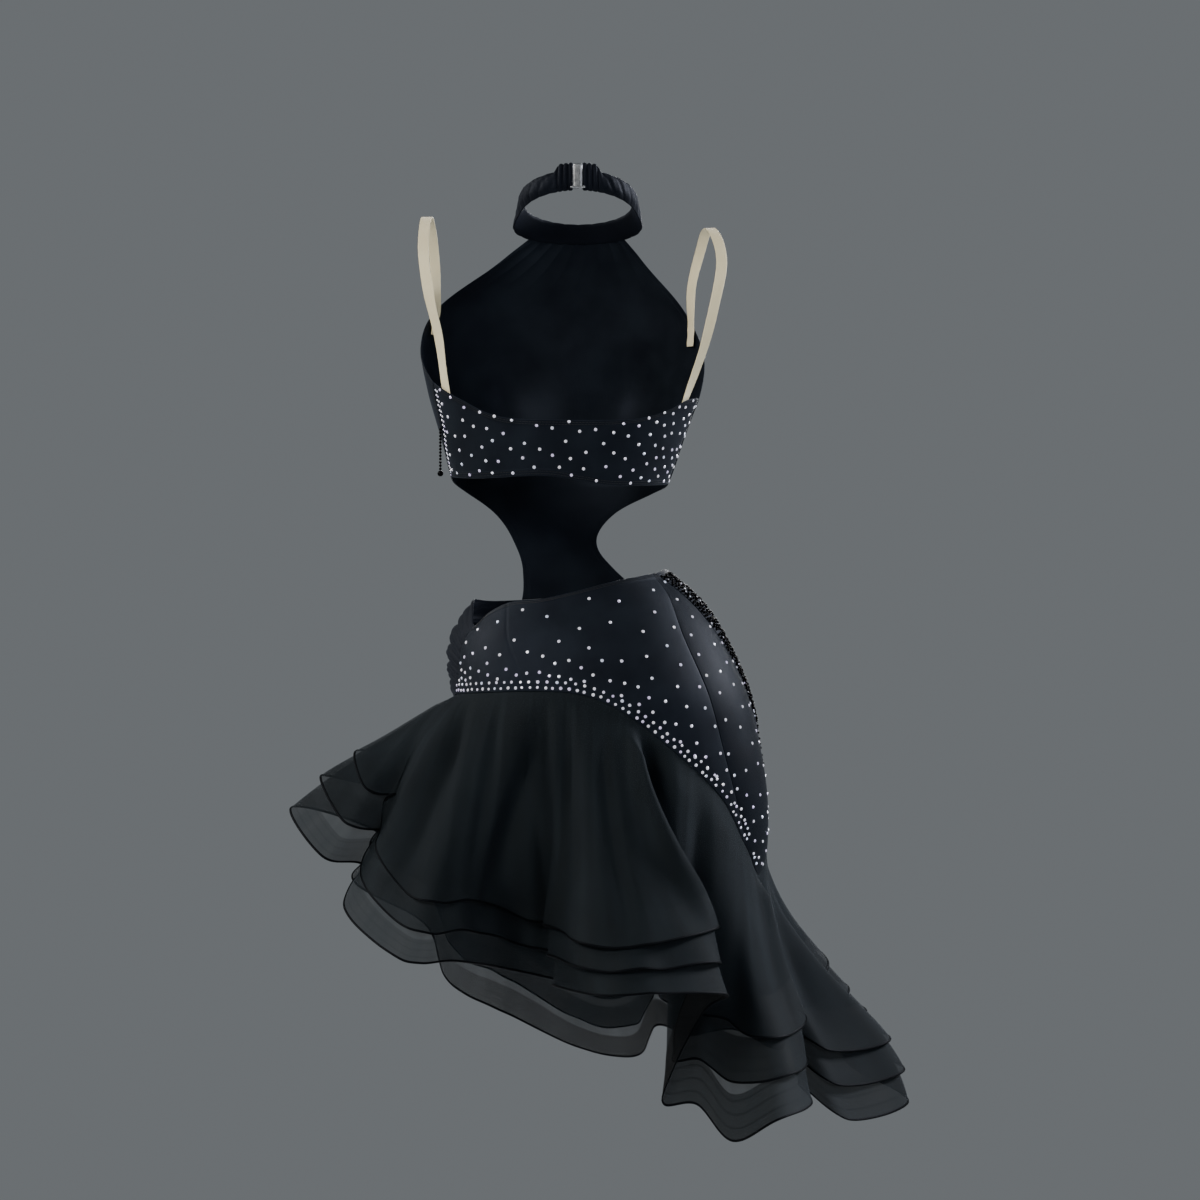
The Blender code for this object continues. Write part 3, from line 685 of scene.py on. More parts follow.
@dataclass(frozen=True)
class HorsehairBraid(Sheer):
    """Polyester crinoline braid: a springy open mesh of monofilament laid on the bias."""

    spacing: float = 2.4 * MM
    bias: float = math.radians(38)
    edge_line: float = 10.5 * MM
    cover: tuple = (0.27, 0.68)

    def build(self, add: Adder, shader: Node, place: Socket) -> None:
        """Cross the wires both ways, with faint lines along the braid.

        Args:
            add, shader, place: as in Finish.build.
        """
        flat = add("ShaderNodeUVMap", uv_map=CLOTH_UV)
        bands = {}
        for k, turn in enumerate((self.bias, -self.bias)):
            turned = add("ShaderNodeMapping", {"Vector": flat, "Rotation": (0, 0, turn)})
            bands[k] = add("ShaderNodeTexWave", {
                "Vector": turned, "Scale": wave_scale(self.spacing),
                "Distortion": 0.2}).outputs["Fac"]
        mesh = add("ShaderNodeMath", bands, operation="MAXIMUM")
        wires = add("ShaderNodeMapRange", {0: mesh, 1: 0.55, 2: 0.95})
        lines = add("ShaderNodeTexWave", {"Vector": flat, "Distortion": 0.3,
                                          "Scale": wave_scale(self.edge_line)},
                    bands_direction="Y")
        meshed = add("ShaderNodeMapRange", {0: wires, 3: -0.03, 4: 0.07})
        cover = add("ShaderNodeMath", {0: self.hidden(add, place), 1: meshed}, operation="ADD")
        lined = add("ShaderNodeMapRange", {0: lines.outputs["Fac"], 1: 0.86, 4: 0.12})
        connect(shader, {
            "Base Color": linear(self.dark),
            "Alpha": add("ShaderNodeMath", {0: cover, 1: lined}, operation="ADD"),
            "Normal": add("ShaderNodeBump", {
                "Strength": 0.1, "Distance": 0.2 * MM, "Height": wires}),
            "Roughness": 0.6,
            "Specular IOR Level": 0.2})


@dataclass(frozen=True)
class Elastic(Finish):
    """Woven skin-tone elastic: covered rubber cords side by side, with a dull satin face."""

    cord: float = 1.3 * MM
    worn: float = 25 * MM

    def build(self, add: Adder, shader: Node, place: Socket) -> None:
        """Weave picks over the cords, a little worn in places.

        Args:
            add, shader, place: as in Finish.build.
        """
        flat = add("ShaderNodeUVMap", uv_map=CLOTH_UV)
        cords = add("ShaderNodeTexWave", {"Vector": flat, "Scale": wave_scale(self.cord)})
        picks = add("ShaderNodeTexWave", {"Vector": flat, "Distortion": 0.8,
                                          "Scale": wave_scale(self.cord * 0.7)},
                    bands_direction="Y")
        wear = add("ShaderNodeTexNoise", {"Vector": flat, "Scale": 1 / self.worn, "Detail": 3.0})
        over = add("ShaderNodeMapRange", {0: picks.outputs["Fac"], 3: 0.6})
        weave = add("ShaderNodeMath", {0: cords.outputs["Fac"], 1: over}, operation="MULTIPLY")
        fresh = add("ShaderNodeMapRange", {0: wear, 1: 0.3, 2: 0.7, 3: 0.6})
        share = add("ShaderNodeMath", {0: weave, 1: fresh}, operation="MULTIPLY")
        connect(shader, {
            "Base Color": self.between(add, share),
            "Normal": add("ShaderNodeBump", {
                "Strength": 0.5, "Distance": 0.3 * MM, "Height": weave}),
            "Roughness": 0.5,
            "Sheen Weight": 0.2,
            "Specular IOR Level": 0.3})


@dataclass(frozen=True)
class BrushedNickel(Finish):
    """Nickel-plated zinc, brushed along its length: bright, with fine lengthwise scratches."""

    scratch: float = 0.25 * MM
    spot: float = 5 * MM

    def build(self, add: Adder, shader: Node, place: Socket) -> None:
        """Draw the scratches out along the plate.

        Args:
            add, shader, place: as in Finish.build.
        """
        drawn = add("ShaderNodeMapping", {"Vector": place, "Scale": (1.0, 1.0, 0.04)})
        lines = add("ShaderNodeTexNoise",
                    {"Vector": drawn, "Scale": 1 / self.scratch, "Detail": 3.0})
        connect(shader, {
            "Base Color": self.patches(add, place, self.spot, 3.0)[1],
            "Roughness": add("ShaderNodeMapRange",
                             {0: lines, 1: 0.3, 2: 0.7, 3: 0.22, 4: 0.42}),
            "Normal": add("ShaderNodeBump", {
                "Strength": 0.2, "Distance": 0.05 * MM, "Height": lines}),
            "Metallic": 1.0})


@dataclass(frozen=True)
class BlackGlass(Finish):
    """Pressed black glass beads: deep, glossy and slightly uneven."""

    spot: float = 4 * MM

    def build(self, add: Adder, shader: Node, place: Socket) -> None:
        """Vary the tone and the gloss from bead to bead.

        Args:
            add, shader, place: as in Finish.build.
        """
        spots, tone = self.patches(add, place, self.spot, 2.0, 0.35, 0.65)
        connect(shader, {
            "Base Color": tone,
            "Roughness": add("ShaderNodeMapRange",
                             {0: spots, 1: 0.3, 2: 0.7, 3: 0.10, 4: 0.18}),
            "Specular IOR Level": 0.03})


@dataclass(frozen=True)
class Crystal(Finish):
    """Foil-backed lead-free crystal with an iridescent coat: bright facets tinted violet.

    The foil throws light back out of the stone. A faint emission in its dark tone stands
    for that.
    """

    tones: tuple = ("#e4e4fb", "#fbfbff", "#d3c2fb", "#f6f9ff", "#cfe0fb")
    facet: float = 1.6 * MM

    def build(self, add: Adder, shader: Node, place: Socket) -> None:
        """Give each stone its own tint, each facet its own gloss, and some facets a painted glint.

        Args:
            add, shader, place: as in Finish.build.
        """
        tint = add("ShaderNodeAttribute", attribute_name="tint")
        facets = add("ShaderNodeTexNoise",
                     {"Vector": place, "Scale": 1 / self.facet, "Detail": 1.0})
        ramp = add("ShaderNodeValToRGB", {0: tint.outputs["Fac"]})
        stops = ramp.color_ramp.elements
        ramp.color_ramp.interpolation = "EASE"
        while len(stops) < len(self.tones):
            stops.new(0.5)
        for k, code in enumerate(self.tones):
            stops[k].position = k / (len(self.tones) - 1)
            stops[k].color = linear(code)
        # painted glint: some facets are drawn towards the light tone at random, for facets that
        # catch the light.
        painted_glint = add("ShaderNodeMapRange", {0: facets, 1: 0.4, 2: 0.7, 4: 0.45})
        tone = add("ShaderNodeMix", {0: painted_glint, 6: ramp, 7: linear(self.light)},
                   data_type="RGBA")
        connect(shader, {
            "Base Color": tone.outputs[2],
            "Roughness": add("ShaderNodeMapRange",
                             {0: facets, 1: 0.3, 2: 0.7, 3: 0.06, 4: 0.2}),
            "Metallic": 0.2,
            # painted glow: a faint emission in the dark tone stands for light that the foil throws
            # back.
            "Emission Color": linear(self.dark),
            "Emission Strength": 0.30,
            "Coat Weight": 0.8,
            "Coat Roughness": 0.03})


@dataclass(frozen=True)
class Thread(Finish):
    """Spun polyester sewing thread, twisted and slightly glossy."""

    twist: float = 0.8 * MM

    def build(self, add: Adder, shader: Node, place: Socket) -> None:
        """Twist the two tones together."""
        tone = self.patches(add, place, self.twist, 2.0, 0.35, 0.65)[1]
        connect(shader, {"Base Color": tone, "Roughness": 0.5})


@dataclass(frozen=True)
class StudioFloor(Finish):
    """Pale painted board, matt and almost even."""

    def build(self, add: Adder, shader: Node, place: Socket) -> None:
        """Drift slowly between the two tones."""
        tone = self.patches(add, place, 1 / 3, 2.0, 0.0, 1.0)[1]
        connect(shader, {"Base Color": tone, "Roughness": 0.7})


@dataclass
class Finishes:
    """Every material of the dress, made once."""

    jersey: Material = field(default_factory=Jersey(
        "black stretch jersey", "#0e1116", "#191e24", specular=0.15).make)
    # A darker copy of the same jersey, with less gloss and sheen, for the side panel: painted
    # shade that sets it darker than the back.
    shaded_side_jersey: Material = field(default_factory=Jersey(
        "black stretch jersey painted darker for the side panel", "#080b10", "#0f141a", specular=0.09,
        sheen=0.03).make)
    ruched: Material = field(default_factory=Jersey(
        "black ruched jersey", "#090b0f", "#12151b", roughness=0.56, specular=0.14).make)
    binding: Material = field(default_factory=Jersey(
        "black bias binding", "#060708", "#0c0d0f", specular=0.04, sheen=0.0).make)
    organza: Material = field(default_factory=Organza(
        "nylon organza", "#11171b", "#1b2227").make)
    braid: Material = field(default_factory=HorsehairBraid(
        "crinoline braid", "#0a0b0d", "#0a0b0d").make)
    elastic: Material = field(default_factory=Elastic(
        "skin-tone woven elastic", "#f1e2b6", "#fff6d8").make)
    nickel: Material = field(default_factory=BrushedNickel(
        "brushed nickel plate", "#8d8f92", "#c9cbcd").make)
    glass: Material = field(default_factory=BlackGlass(
        "black glass bead", "#020203", "#060608").make)
    crystal: Material = field(default_factory=Crystal(
        "foil-backed crystal", "#efeaff", "#ffffff").make)
    thread: Material = field(default_factory=Thread(
        "black sewing thread", "#08080a", "#16161a").make)
    pale_thread: Material = field(default_factory=Thread(
        "skin-tone sewing thread", "#a9906c", "#e0cfae").make)


# Repeated small things, by Geometry Nodes

class Small(Enum):
    """The small things that are repeated over the dress."""

    STONE = "stone"
    BEAD = "bead"
    STITCH = "stitch"


@dataclass
class Scatter:
    """Many copies of one small thing, each on its own point and facing its own way."""

    name: str
    kind: Small
    material: Material
    points: Array
    facing: Array
    sizes: Array
    seed: int = 3
    tilt: float = 0.0
    heading: Optional[Array] = None

    def thing(self, add: Adder) -> Node:
        """The geometry of one copy, of size 1 and facing +Z.

        Args:
            add: adds a node to the tree.

        Returns:
            The node that gives its geometry.
        """
        if self.kind is Small.BEAD:
            ball = add("GeometryNodeMeshUVSphere", {"Segments": 8, "Rings": 6, "Radius": 0.5})
            return add("GeometryNodeSetShadeSmooth", {0: ball})
        if self.kind is Small.STITCH:
            bar = add("GeometryNodeMeshCone", {"Vertices": 5, "Radius Top": 0.09, "Depth": 1.0,
                                               "Radius Bottom": 0.09, "Side Segments": 1})
            return add("GeometryNodeTransform", {
                0: bar, "Translation": (-0.5, 0, 0.05), "Rotation": (0, math.pi / 2, 0)})
        crown, table = (add("GeometryNodeMeshCone", {
            "Vertices": 8, "Radius Top": top, "Radius Bottom": bottom, "Depth": depth})
            for top, bottom, depth in ((0.36, 0.5, 0.16), (0.2, 0.36, 0.12)))
        turned = add("GeometryNodeTransform", {
            0: table, "Translation": (0, 0, 0.16), "Rotation": (0, 0, math.pi / 8)})
        both = add("GeometryNodeJoinGeometry", {0: crown})
        connect(both, {0: turned})
        return both

    def tree(self) -> bpy.types.NodeTree:
        """Build the node tree with its named inputs.

        Returns:
            The tree, which ends in Realize Instances and Set Material.
        """
        tree = bpy.data.node_groups.new(f"{self.name} scatter", "GeometryNodeTree")
        sockets = (("Geometry", "NodeSocketGeometry", None), ("Scale", "NodeSocketFloat", 1.0),
                   ("Tilt", "NodeSocketFloat", self.tilt), ("Seed", "NodeSocketInt", self.seed))
        for label, kind, value in sockets:
            socket = tree.interface.new_socket(label, in_out="INPUT", socket_type=kind)
            if value is not None:
                socket.default_value = value
        tree.interface.new_socket("Geometry", in_out="OUTPUT", socket_type="NodeSocketGeometry")
        add = partial(add_node, tree)
        source = add("NodeGroupInput").outputs
        facing, heading, size = (add("GeometryNodeInputNamedAttribute", {"Name": name},
                                     data_type=kind)
                                 for name, kind in (("facing", "FLOAT_VECTOR"),
                                                    ("heading", "FLOAT_VECTOR"),
                                                    ("size", "FLOAT")))
        stand = add("FunctionNodeAlignRotationToVector", {"Vector": facing}, axis="Z")
        point = add("FunctionNodeAlignRotationToVector", {"Rotation": stand, "Vector": heading},
                    axis="X", pivot_axis="Z")
        chance = add("FunctionNodeRandomValue", {"Min": (-1.0,) * 3, "Max": (1.0,) * 3,
                                                 "Seed": source["Seed"]},
                     data_type="FLOAT_VECTOR")
        lean = add("ShaderNodeVectorMath", {0: chance, "Scale": source["Tilt"]},
                   operation="SCALE")
        turn = add("FunctionNodeRotateRotation", {0: point, 1: lean}, rotation_space="LOCAL")
        grow = add("ShaderNodeMath", {0: size, 1: source["Scale"]}, operation="MULTIPLY")
        copies = add("GeometryNodeInstanceOnPoints", {
            "Points": source["Geometry"], "Instance": self.thing(add), "Rotation": turn,
            "Scale": grow})
        tint = add("FunctionNodeRandomValue", {"Seed": source["Seed"]}, data_type="FLOAT")
        named = add("GeometryNodeStoreNamedAttribute", {
            "Geometry": copies, "Name": "tint", "Value": tint.outputs[1]}, data_type="FLOAT",
            domain="INSTANCE")
        real = add("GeometryNodeRealizeInstances", {0: named})
        dressed = add("GeometryNodeSetMaterial", {0: real, "Material": self.material})
        add("NodeGroupOutput", {0: dressed})
        return tree

    def make(self) -> Piece:
        """Place the copies and turn them into one plain mesh.

        Returns:
            The finished piece.
        """
        mesh = bpy.data.meshes.new(f"{self.name} points")
        mesh.from_pydata(self.points.reshape(-1, 3).tolist(), [], [])
        heading = self.heading
        if heading is None:
            heading = np.tile((1.0, 0, 0), (len(self.points), 1))
        for label, kind, key, values in (("facing", "FLOAT_VECTOR", "vector", self.facing),
                                         ("heading", "FLOAT_VECTOR", "vector", heading),
                                         ("size", "FLOAT", "value", self.sizes)):
            attribute = mesh.attributes.new(label, kind, "POINT")
            attribute.data.foreach_set(key, np.ascontiguousarray(values, dtype=float).ravel())
        piece = bpy.data.objects.new(self.name, mesh)
        bpy.context.scene.collection.objects.link(piece)
        tree = self.tree()
        modifier = piece.modifiers.new("copies", "NODES")
        modifier.node_group = tree
        values = {"Scale": 1.0, "Tilt": self.tilt, "Seed": self.seed}
        for item in tree.interface.items_tree:
            if item.in_out == "INPUT" and item.name in values:
                modifier[item.identifier] = values[item.name]
        solid = bpy.data.meshes.new_from_object(
            piece.evaluated_get(bpy.context.evaluated_depsgraph_get()))
        piece.modifiers.clear()
        piece.data = solid
        solid.name = self.name
        bpy.data.meshes.remove(mesh)
        bpy.data.node_groups.remove(tree)
        return piece


# Panels of jersey

class Side(Enum):
    """The four edges of a panel."""

    BOTTOM = "bottom"
    TOP = "top"
    LEFT = "left"
    RIGHT = "right"


@dataclass(frozen=True)
class Hem:
    """An edge turned in and held by two rows of stitches."""

    width: float = 7.0 * MM
    thick: float = 0.45 * MM
    rows: tuple = (5.4 * MM, 2.8 * MM)
    pitch: float = 3.6 * MM
    dent: float = 0.22 * MM
    dent_width: float = 0.5 * MM


@dataclass
class Stitches:
    """Places of single stitches, gathered from every seam."""

    points: list = field(default_factory=list)
    facing: list = field(default_factory=list)
    heading: list = field(default_factory=list)

    def add(self, points: Array, facing: Array, heading: Array) -> None:
        """Take in a row of stitches."""
        self.points.append(points)
        self.facing.append(facing)
        self.heading.append(heading)

    def make(self, name: str, material: Material, length: float = 3.0 * MM) -> Piece:
        """Sew them all as one piece."""
        points = np.concatenate(self.points)
        return Scatter(name, Small.STITCH, material, points, np.concatenate(self.facing),
                       np.full(len(points), length), heading=np.concatenate(self.heading)).make()


@dataclass
class Panel:
    """A cloth panel cut to four edges on the figure."""

    name: str
    bottom: Edge
    top: Edge
    left: Edge
    right: Edge
    columns: int
    rows: int
    hems: tuple = ()
    relief: Optional[Callable[[Array, Array], Array]] = None
    base: float = 0.25 * MM
    wall: float = 0.85 * MM
    retreat: float = 0.5 * MM
    hem: Hem = Hem()

    def __post_init__(self) -> None:
        """Measure the panel, so that hems and seams can be set out in millimetres."""
        self.read = patch(self.bottom, self.top, self.left, self.right)
        self.shares = np.linspace(0, 1, 61)
        u, v = np.meshgrid(self.shares, self.shares, indexing="ij")
        grid = FIGURE.surface(*np.moveaxis(self.read(u, v), -1, 0))
        self.widths = np.linalg.norm(np.diff(grid, axis=0), axis=-1).sum(axis=0)
        self.heights = np.linalg.norm(np.diff(grid, axis=1), axis=-1).sum(axis=1)

    def width(self, v: Array) -> Array:
        """Width of the panel at a share of its height."""
        return np.interp(v, self.shares, self.widths)

    def tall(self, u: Array) -> Array:
        """Height of the panel at a share of its width."""
        return np.interp(u, self.shares, self.heights)

    def from_edge(self, side: Side, u: Array, v: Array) -> Array:
        """Distance from an edge, in metres."""
        return {Side.BOTTOM: v * self.tall(u), Side.TOP: (1 - v) * self.tall(u),
                Side.RIGHT: u * self.width(v), Side.LEFT: (1 - u) * self.width(v)}[side]

    def lift(self, u: Array, v: Array) -> Array:
        """How far the inner face stands off the figure.

        Args:
            u, v: shares across and up.

        Returns:
            Metres off the figure.
        """
        total = np.full(np.broadcast(u, v).shape, self.base)
        if self.relief:
            total = total + self.relief(u, v)
        fold = np.zeros_like(total)
        for side in self.hems:
            away = self.from_edge(side, u, v)
            turned = self.hem.thick * (1 - ease(self.hem.width - MM, self.hem.width + MM, away))
            for row in self.hem.rows:
                turned = turned - self.hem.dent * bump(away, row, self.hem.dent_width)
            fold = np.where(turned > fold, turned, fold)
        return total + fold

    def point(self, u: Array, v: Array, above: float = 0.0) -> Array:
        """Points above the panel's inner face."""
        place = np.moveaxis(self.read(u, v), -1, 0)
        return FIGURE.point(*place, self.lift(u, v) + above)

    def facing(self, u: Array, v: Array) -> Array:
        """Straight out of the panel's face, with its folds.

        Args:
            u, v: shares across and up.

        Returns:
            One unit vector each.
        """
        step = 0.002
        across = self.point(np.clip(u + step, 0, 1), v) - self.point(np.clip(u - step, 0, 1), v)
        up = self.point(u, np.clip(v + step, 0, 1)) - self.point(u, np.clip(v - step, 0, 1))
        out = unit(np.cross(across, up))
        general = FIGURE.normal(*np.moveaxis(self.read(u, v), -1, 0))
        return out * np.sign(np.sum(out * general, axis=-1, keepdims=True))

    def cloth(self) -> Cloth:
        """The panel's mesh.

        Returns:
            The mesh with its wall.
        """
        u, v = np.meshgrid(self.spaced(self.columns, float(np.mean(self.widths))),
                           self.spaced(self.rows, float(np.mean(self.heights))), indexing="ij")
        keep_u, keep_v = self.retreat / self.width(v), self.retreat / self.tall(u)
        u, v = keep_u + u * (1 - 2 * keep_u), keep_v + v * (1 - 2 * keep_v)
        return shell(self.point(u, v), self.point(u, v, self.wall))

    def spaced(self, count: int, size: float) -> Array:
        """Shares of the panel, closer together over its hems."""
        rim = min(0.2, 9 * MM / size)
        near = np.linspace(0, rim, 10)[:-1]
        return np.concatenate((near, np.linspace(rim, 1 - rim, count), 1 - near[::-1]))

    def line(self, side: Side, away: float, pitch: float, span: tuple = (0.0, 1.0)
             ) -> tuple[Array, Array, Array, Array]:
        """Evenly spaced places along an edge.

        Args:
            side: the edge.
            away: distance from it.
            pitch: distance between the places.
            span: shares of the edge to keep.

        Returns:
            Shares across and up, the points' facing and their heading.
        """
        t = np.linspace(*span, 600)
        if side in (Side.BOTTOM, Side.TOP):
            share = away / self.tall(t)
            u, v = t, share if side is Side.BOTTOM else 1 - share
        else:
            share = away / self.width(t)
            u, v = share if side is Side.RIGHT else 1 - share, t
        points = self.point(u, v, self.wall)
        length = run_length(points)
        at = np.arange(pitch / 2, length[-1] - pitch / 4, pitch)
        u, v = np.interp(at, length, u), np.interp(at, length, v)
        ahead = np.stack([np.gradient(np.interp(at, length, points[:, k])) for k in range(3)], -1)
        return u, v, self.facing(u, v), unit(ahead)

    def sew(self, stitches: Stitches) -> None:
        """Run the hems' stitches.

        Args:
            stitches: takes them in.
        """
        for side in self.hems:
            for row in self.hem.rows:
                u, v, facing, heading = self.line(side, row, self.hem.pitch)
                stitches.add(self.point(u, v, self.wall), facing, heading)


@dataclass
class FlatCloth:
    """Declares a cloth piece with the size that it was cut to.

    spare is how much larger the rectangle is than a cut that fills it, and least_share the
    smallest share of the rectangle that a ring's cut takes up.
    """

    held: str
    rests_on: tuple
    walls: int = 2
    spare: float = 1.02
    least_share: float = 0.32

    def declare(self, piece: Piece) -> None:
        """State the cut of what shows, from the piece's own cloth coordinates.

        Args:
            piece: the cloth.
        """
        corners = np.empty(len(piece.data.loops) * 2)
        piece.data.uv_layers[CLOTH_UV].data.foreach_get("uv", corners)
        width, length = np.ptp(corners.reshape(-1, 2), axis=0)
        area = sum(face.area for face in piece.data.polygons) / self.walls
        grow = max(1.0, math.sqrt(self.spare * area / (width * length)))
        flat = (float(width * grow), float(length * grow))
        share = area / (flat[0] * flat[1])
        if share < self.least_share:
            flat = (flat[0], flat[1] * share / self.least_share)
        LOG.info("%s: cut %.3f x %.3f m, %.4f m2", piece.name, *flat, area)
        list(self.rests_on)


# Bodice

def side_of_front(cut: tuple, seam: tuple, armhole: tuple, top: float) -> Edge:
    """From the skirt's waist up to the collar, with both ends set exactly on them."""
    foot = cut[0][0]
    return chain(((foot, float(waist(foot))), *cut[1:]), seam,
                 (*armhole[:-1], (armhole[-1][0], top)))


@dataclass
class Bodice:
    """Halter front with cups, and the back band."""

    finishes: Finishes
    stitches: Stitches
    seam_gap: float = 0.3 * MM
    pulls: int = 9
    pull_height: float = 1.3 * MM
    drift: float = 0.4 * MM
    dart_depth: float = 0.35 * MM
    dart_height: float = 0.47
    dart_slope: float = 0.35
    band_drift: float = 0.35 * MM
    band_rise: float = 0.25 * MM
    front: Panel = field(init=False)
    band: Panel = field(init=False)

    def __post_init__(self) -> None:
        """Set out both panels."""
        def under_collar(degrees: Array) -> Array:
            """Height of the collar's lower edge."""
            return Collar.height(degrees) - Collar.half_height + self.seam_gap / 2

        right_end, left_end = ARMHOLE_RIGHT[-1][0], ARMHOLE_LEFT[-1][0]
        left = side_of_front(WAIST_CUT_LEFT, SIDE_SEAM_LEFT, ARMHOLE_LEFT,
                             float(under_collar(left_end)))
        right = side_of_front(WAIST_CUT_RIGHT, SIDE_SEAM_RIGHT, ARMHOLE_RIGHT,
                              float(under_collar(right_end)))
        bottom = level_edge(WAIST_CUT_RIGHT[0][0], WAIST_CUT_LEFT[0][0], waist)
        top = level_edge(right_end, left_end, under_collar)
        self.front = Panel("halter_front", bottom, top, left, right, 150, 190,
                           hems=(Side.LEFT, Side.RIGHT), relief=self.front_relief)
        self.band = Panel("back_band_cloth", along(BACK_BOTTOM[::-1]), along(BACK_TOP[::-1]),
                          along(SIDE_SEAM_LEFT),
                          lambda v: along(SIDE_SEAM_RIGHT)(v) + np.array((FULL_TURN, 0.0)),
                          200, 44, hems=(Side.BOTTOM, Side.TOP), relief=self.band_relief)

    def front_relief(self, u: Array, v: Array) -> Array:
        """Bust darts, and soft pulls towards the collar.

        Args:
            u, v: shares across and up.

        Returns:
            Metres outwards.
        """
        side = np.minimum(u, 1 - u)
        dart = bump(v - self.dart_height - self.dart_slope * side, 0, 0.006) * (
            1 - ease(0.16, 0.24, side))
        pulls = np.abs(np.sin(np.pi * (u * self.pulls + 0.6 * np.sin(7 * v))))**0.8
        gather = ease(0.82, 1.0, v) * self.pull_height * pulls
        soft = self.drift * ripples(u, v, 11, 2.2, 3.0) * ease(0, 0.12, side)
        return 0.5 * MM + soft + gather - self.dart_depth * dart

    def band_relief(self, u: Array, v: Array) -> Array:
        """Faint pulls along the band, stronger at its side seams.

        Args:
            u, v: shares across and up.

        Returns:
            Metres outwards.
        """
        slack = np.sin(np.pi * v)
        ends = bump(u, 0, 0.12) + bump(u, 1, 0.10)
        return slack * (self.band_drift * ripples(u, v, 5, 2.0, 2.0) * (0.4 + ends)
                        + self.band_rise)

    def make(self) -> None:
        """Cut and sew both panels."""
        cloth = FlatCloth("stretched", ("collar_roll",))
        front = self.front.cloth().piece(self.front.name, self.finishes.jersey)
        seat(front, "black jersey", ["front"])
        cloth.declare(front)
        band = self.band.cloth().piece(self.band.name, self.finishes.jersey)
        seat(band, "black jersey", ["back_band"])
        FlatCloth("stretched", (self.front.name,)).declare(band)
        for panel in (self.front, self.band):
            panel.sew(self.stitches)


@dataclass
class Collar:
    """Halter collar: jersey ruched over elastic, pleated at the clasp and rolled elsewhere.

    Depths and heights are shares of the section: plain, then what each kind of fold adds.
    Each row of the section is how far it lies off the figure in mm and its share of the
    half height.
    """

    finishes: Finishes
    middle: ClassVar[float] = -0.0145
    drop: ClassVar[float] = 0.0240
    half_height: ClassVar[float] = 14.5 * MM
    end: float = 4.9
    stations: int = 900
    around: int = 30
    pleat: float = 5.4 * MM
    pleated: float = 16.0
    step: float = 5.0
    roll_top: float = 0.45
    puff: float = 14 * MM
    fine_fold: float = 6.2 * MM
    pleat_depth: tuple = (0.66, 0.36)
    pleat_height: tuple = (0.88, 0.13)
    roll_depth: tuple = (0.86, 0.17, 0.02)
    roll_height: tuple = (0.93, 0.07)
    section: tuple = ((0.3, -1.0), (2.8, -1.0), (6.4, -0.64), (7.4, 0.0), (6.4, 0.62),
                      (3.2, 1.0), (0.8, 0.75), (0.5, 0.0))

    @classmethod
    def height(cls, degrees: Array) -> Array:
        """Height of the collar's middle line."""
        return cls.middle - cls.drop * np.sin(np.radians(degrees))

    def make(self) -> None:
        """Gather the collar."""
        first, last = BACK + self.end, BACK + FULL_TURN - self.end
        degrees = np.linspace(first, last, self.stations)
        line = FIGURE.surface(degrees, self.height(degrees))
        run = run_length(line)
        end = np.minimum(run, run[-1] - run)[:, None]
        turns = np.arange(self.around) * FULL_TURN / self.around
        ring = np.array([(k * FULL_TURN / len(self.section), *row)
                         for k, row in enumerate(self.section)])
        lift, rise = np.moveaxis(smooth_round(ring, turns), -1, 0)
        lift, rise = lift[None, :] * MM, rise[None, :]
        past = np.minimum(degrees - first, last - degrees)[:, None] - self.pleated
        roll = np.clip(past / self.step, 0, 1)
        pleat = np.abs(np.sin(np.pi * end / self.pleat))**0.5
        along_run = run[:, None] / self.puff
        lean = np.sign(run[-1] / 2 - run)[:, None]
        crease = np.abs(np.sin(np.pi * (along_run + lean * 0.5 * rise + 0.22 * np.sin(
            run[:, None] / (23 * MM) + 1.4 * rise))))**0.6
        fine = np.sin(2 * np.pi * (run[:, None] / self.fine_fold + 0.5 * rise + 0.3 * np.sin(
            run[:, None] / (17 * MM))))
        full = ((1 - roll) * (self.pleat_depth[0] + self.pleat_depth[1] * pleat)
                + roll * (self.roll_depth[0] + self.roll_depth[1] * crease
                          + self.roll_depth[2] * fine))
        tall = ((1 - roll) * (self.pleat_height[0] + self.pleat_height[1] * pleat)
                + roll * (self.roll_height[0] + self.roll_height[1] * crease))
        top = 1 - (1 - self.roll_top) * roll
        cap = ease(0, 1.2 * MM, end + 0.25 * MM)
        outer = np.where(lift > 1.2 * MM, lift * full * (0.5 + 0.5 * cap), lift)
        tallness = np.where(rise > 0, tall * top, 0.5 + 0.5 * tall) * (0.9 + 0.1 * cap)
        height = self.height(degrees)[:, None] + rise * self.half_height * tallness
        points = FIGURE.point(np.broadcast_to(degrees[:, None], height.shape), height, outer)
        piece = tube(points).piece("collar_roll", self.finishes.ruched)
        seat(piece, "ruched jersey", ["collar"])
        FlatCloth("gathered", ()).declare(piece)


# Clasp, straps and bead strand

def superellipse(turns: Array, power: float) -> tuple[Array, Array]:
    """A rounded rectangle of half sizes 1."""
    c, s = np.cos(turns), np.sin(turns)
    return np.sign(c) * np.abs(c)**(2 / power), np.sign(s) * np.abs(s)**(2 / power)


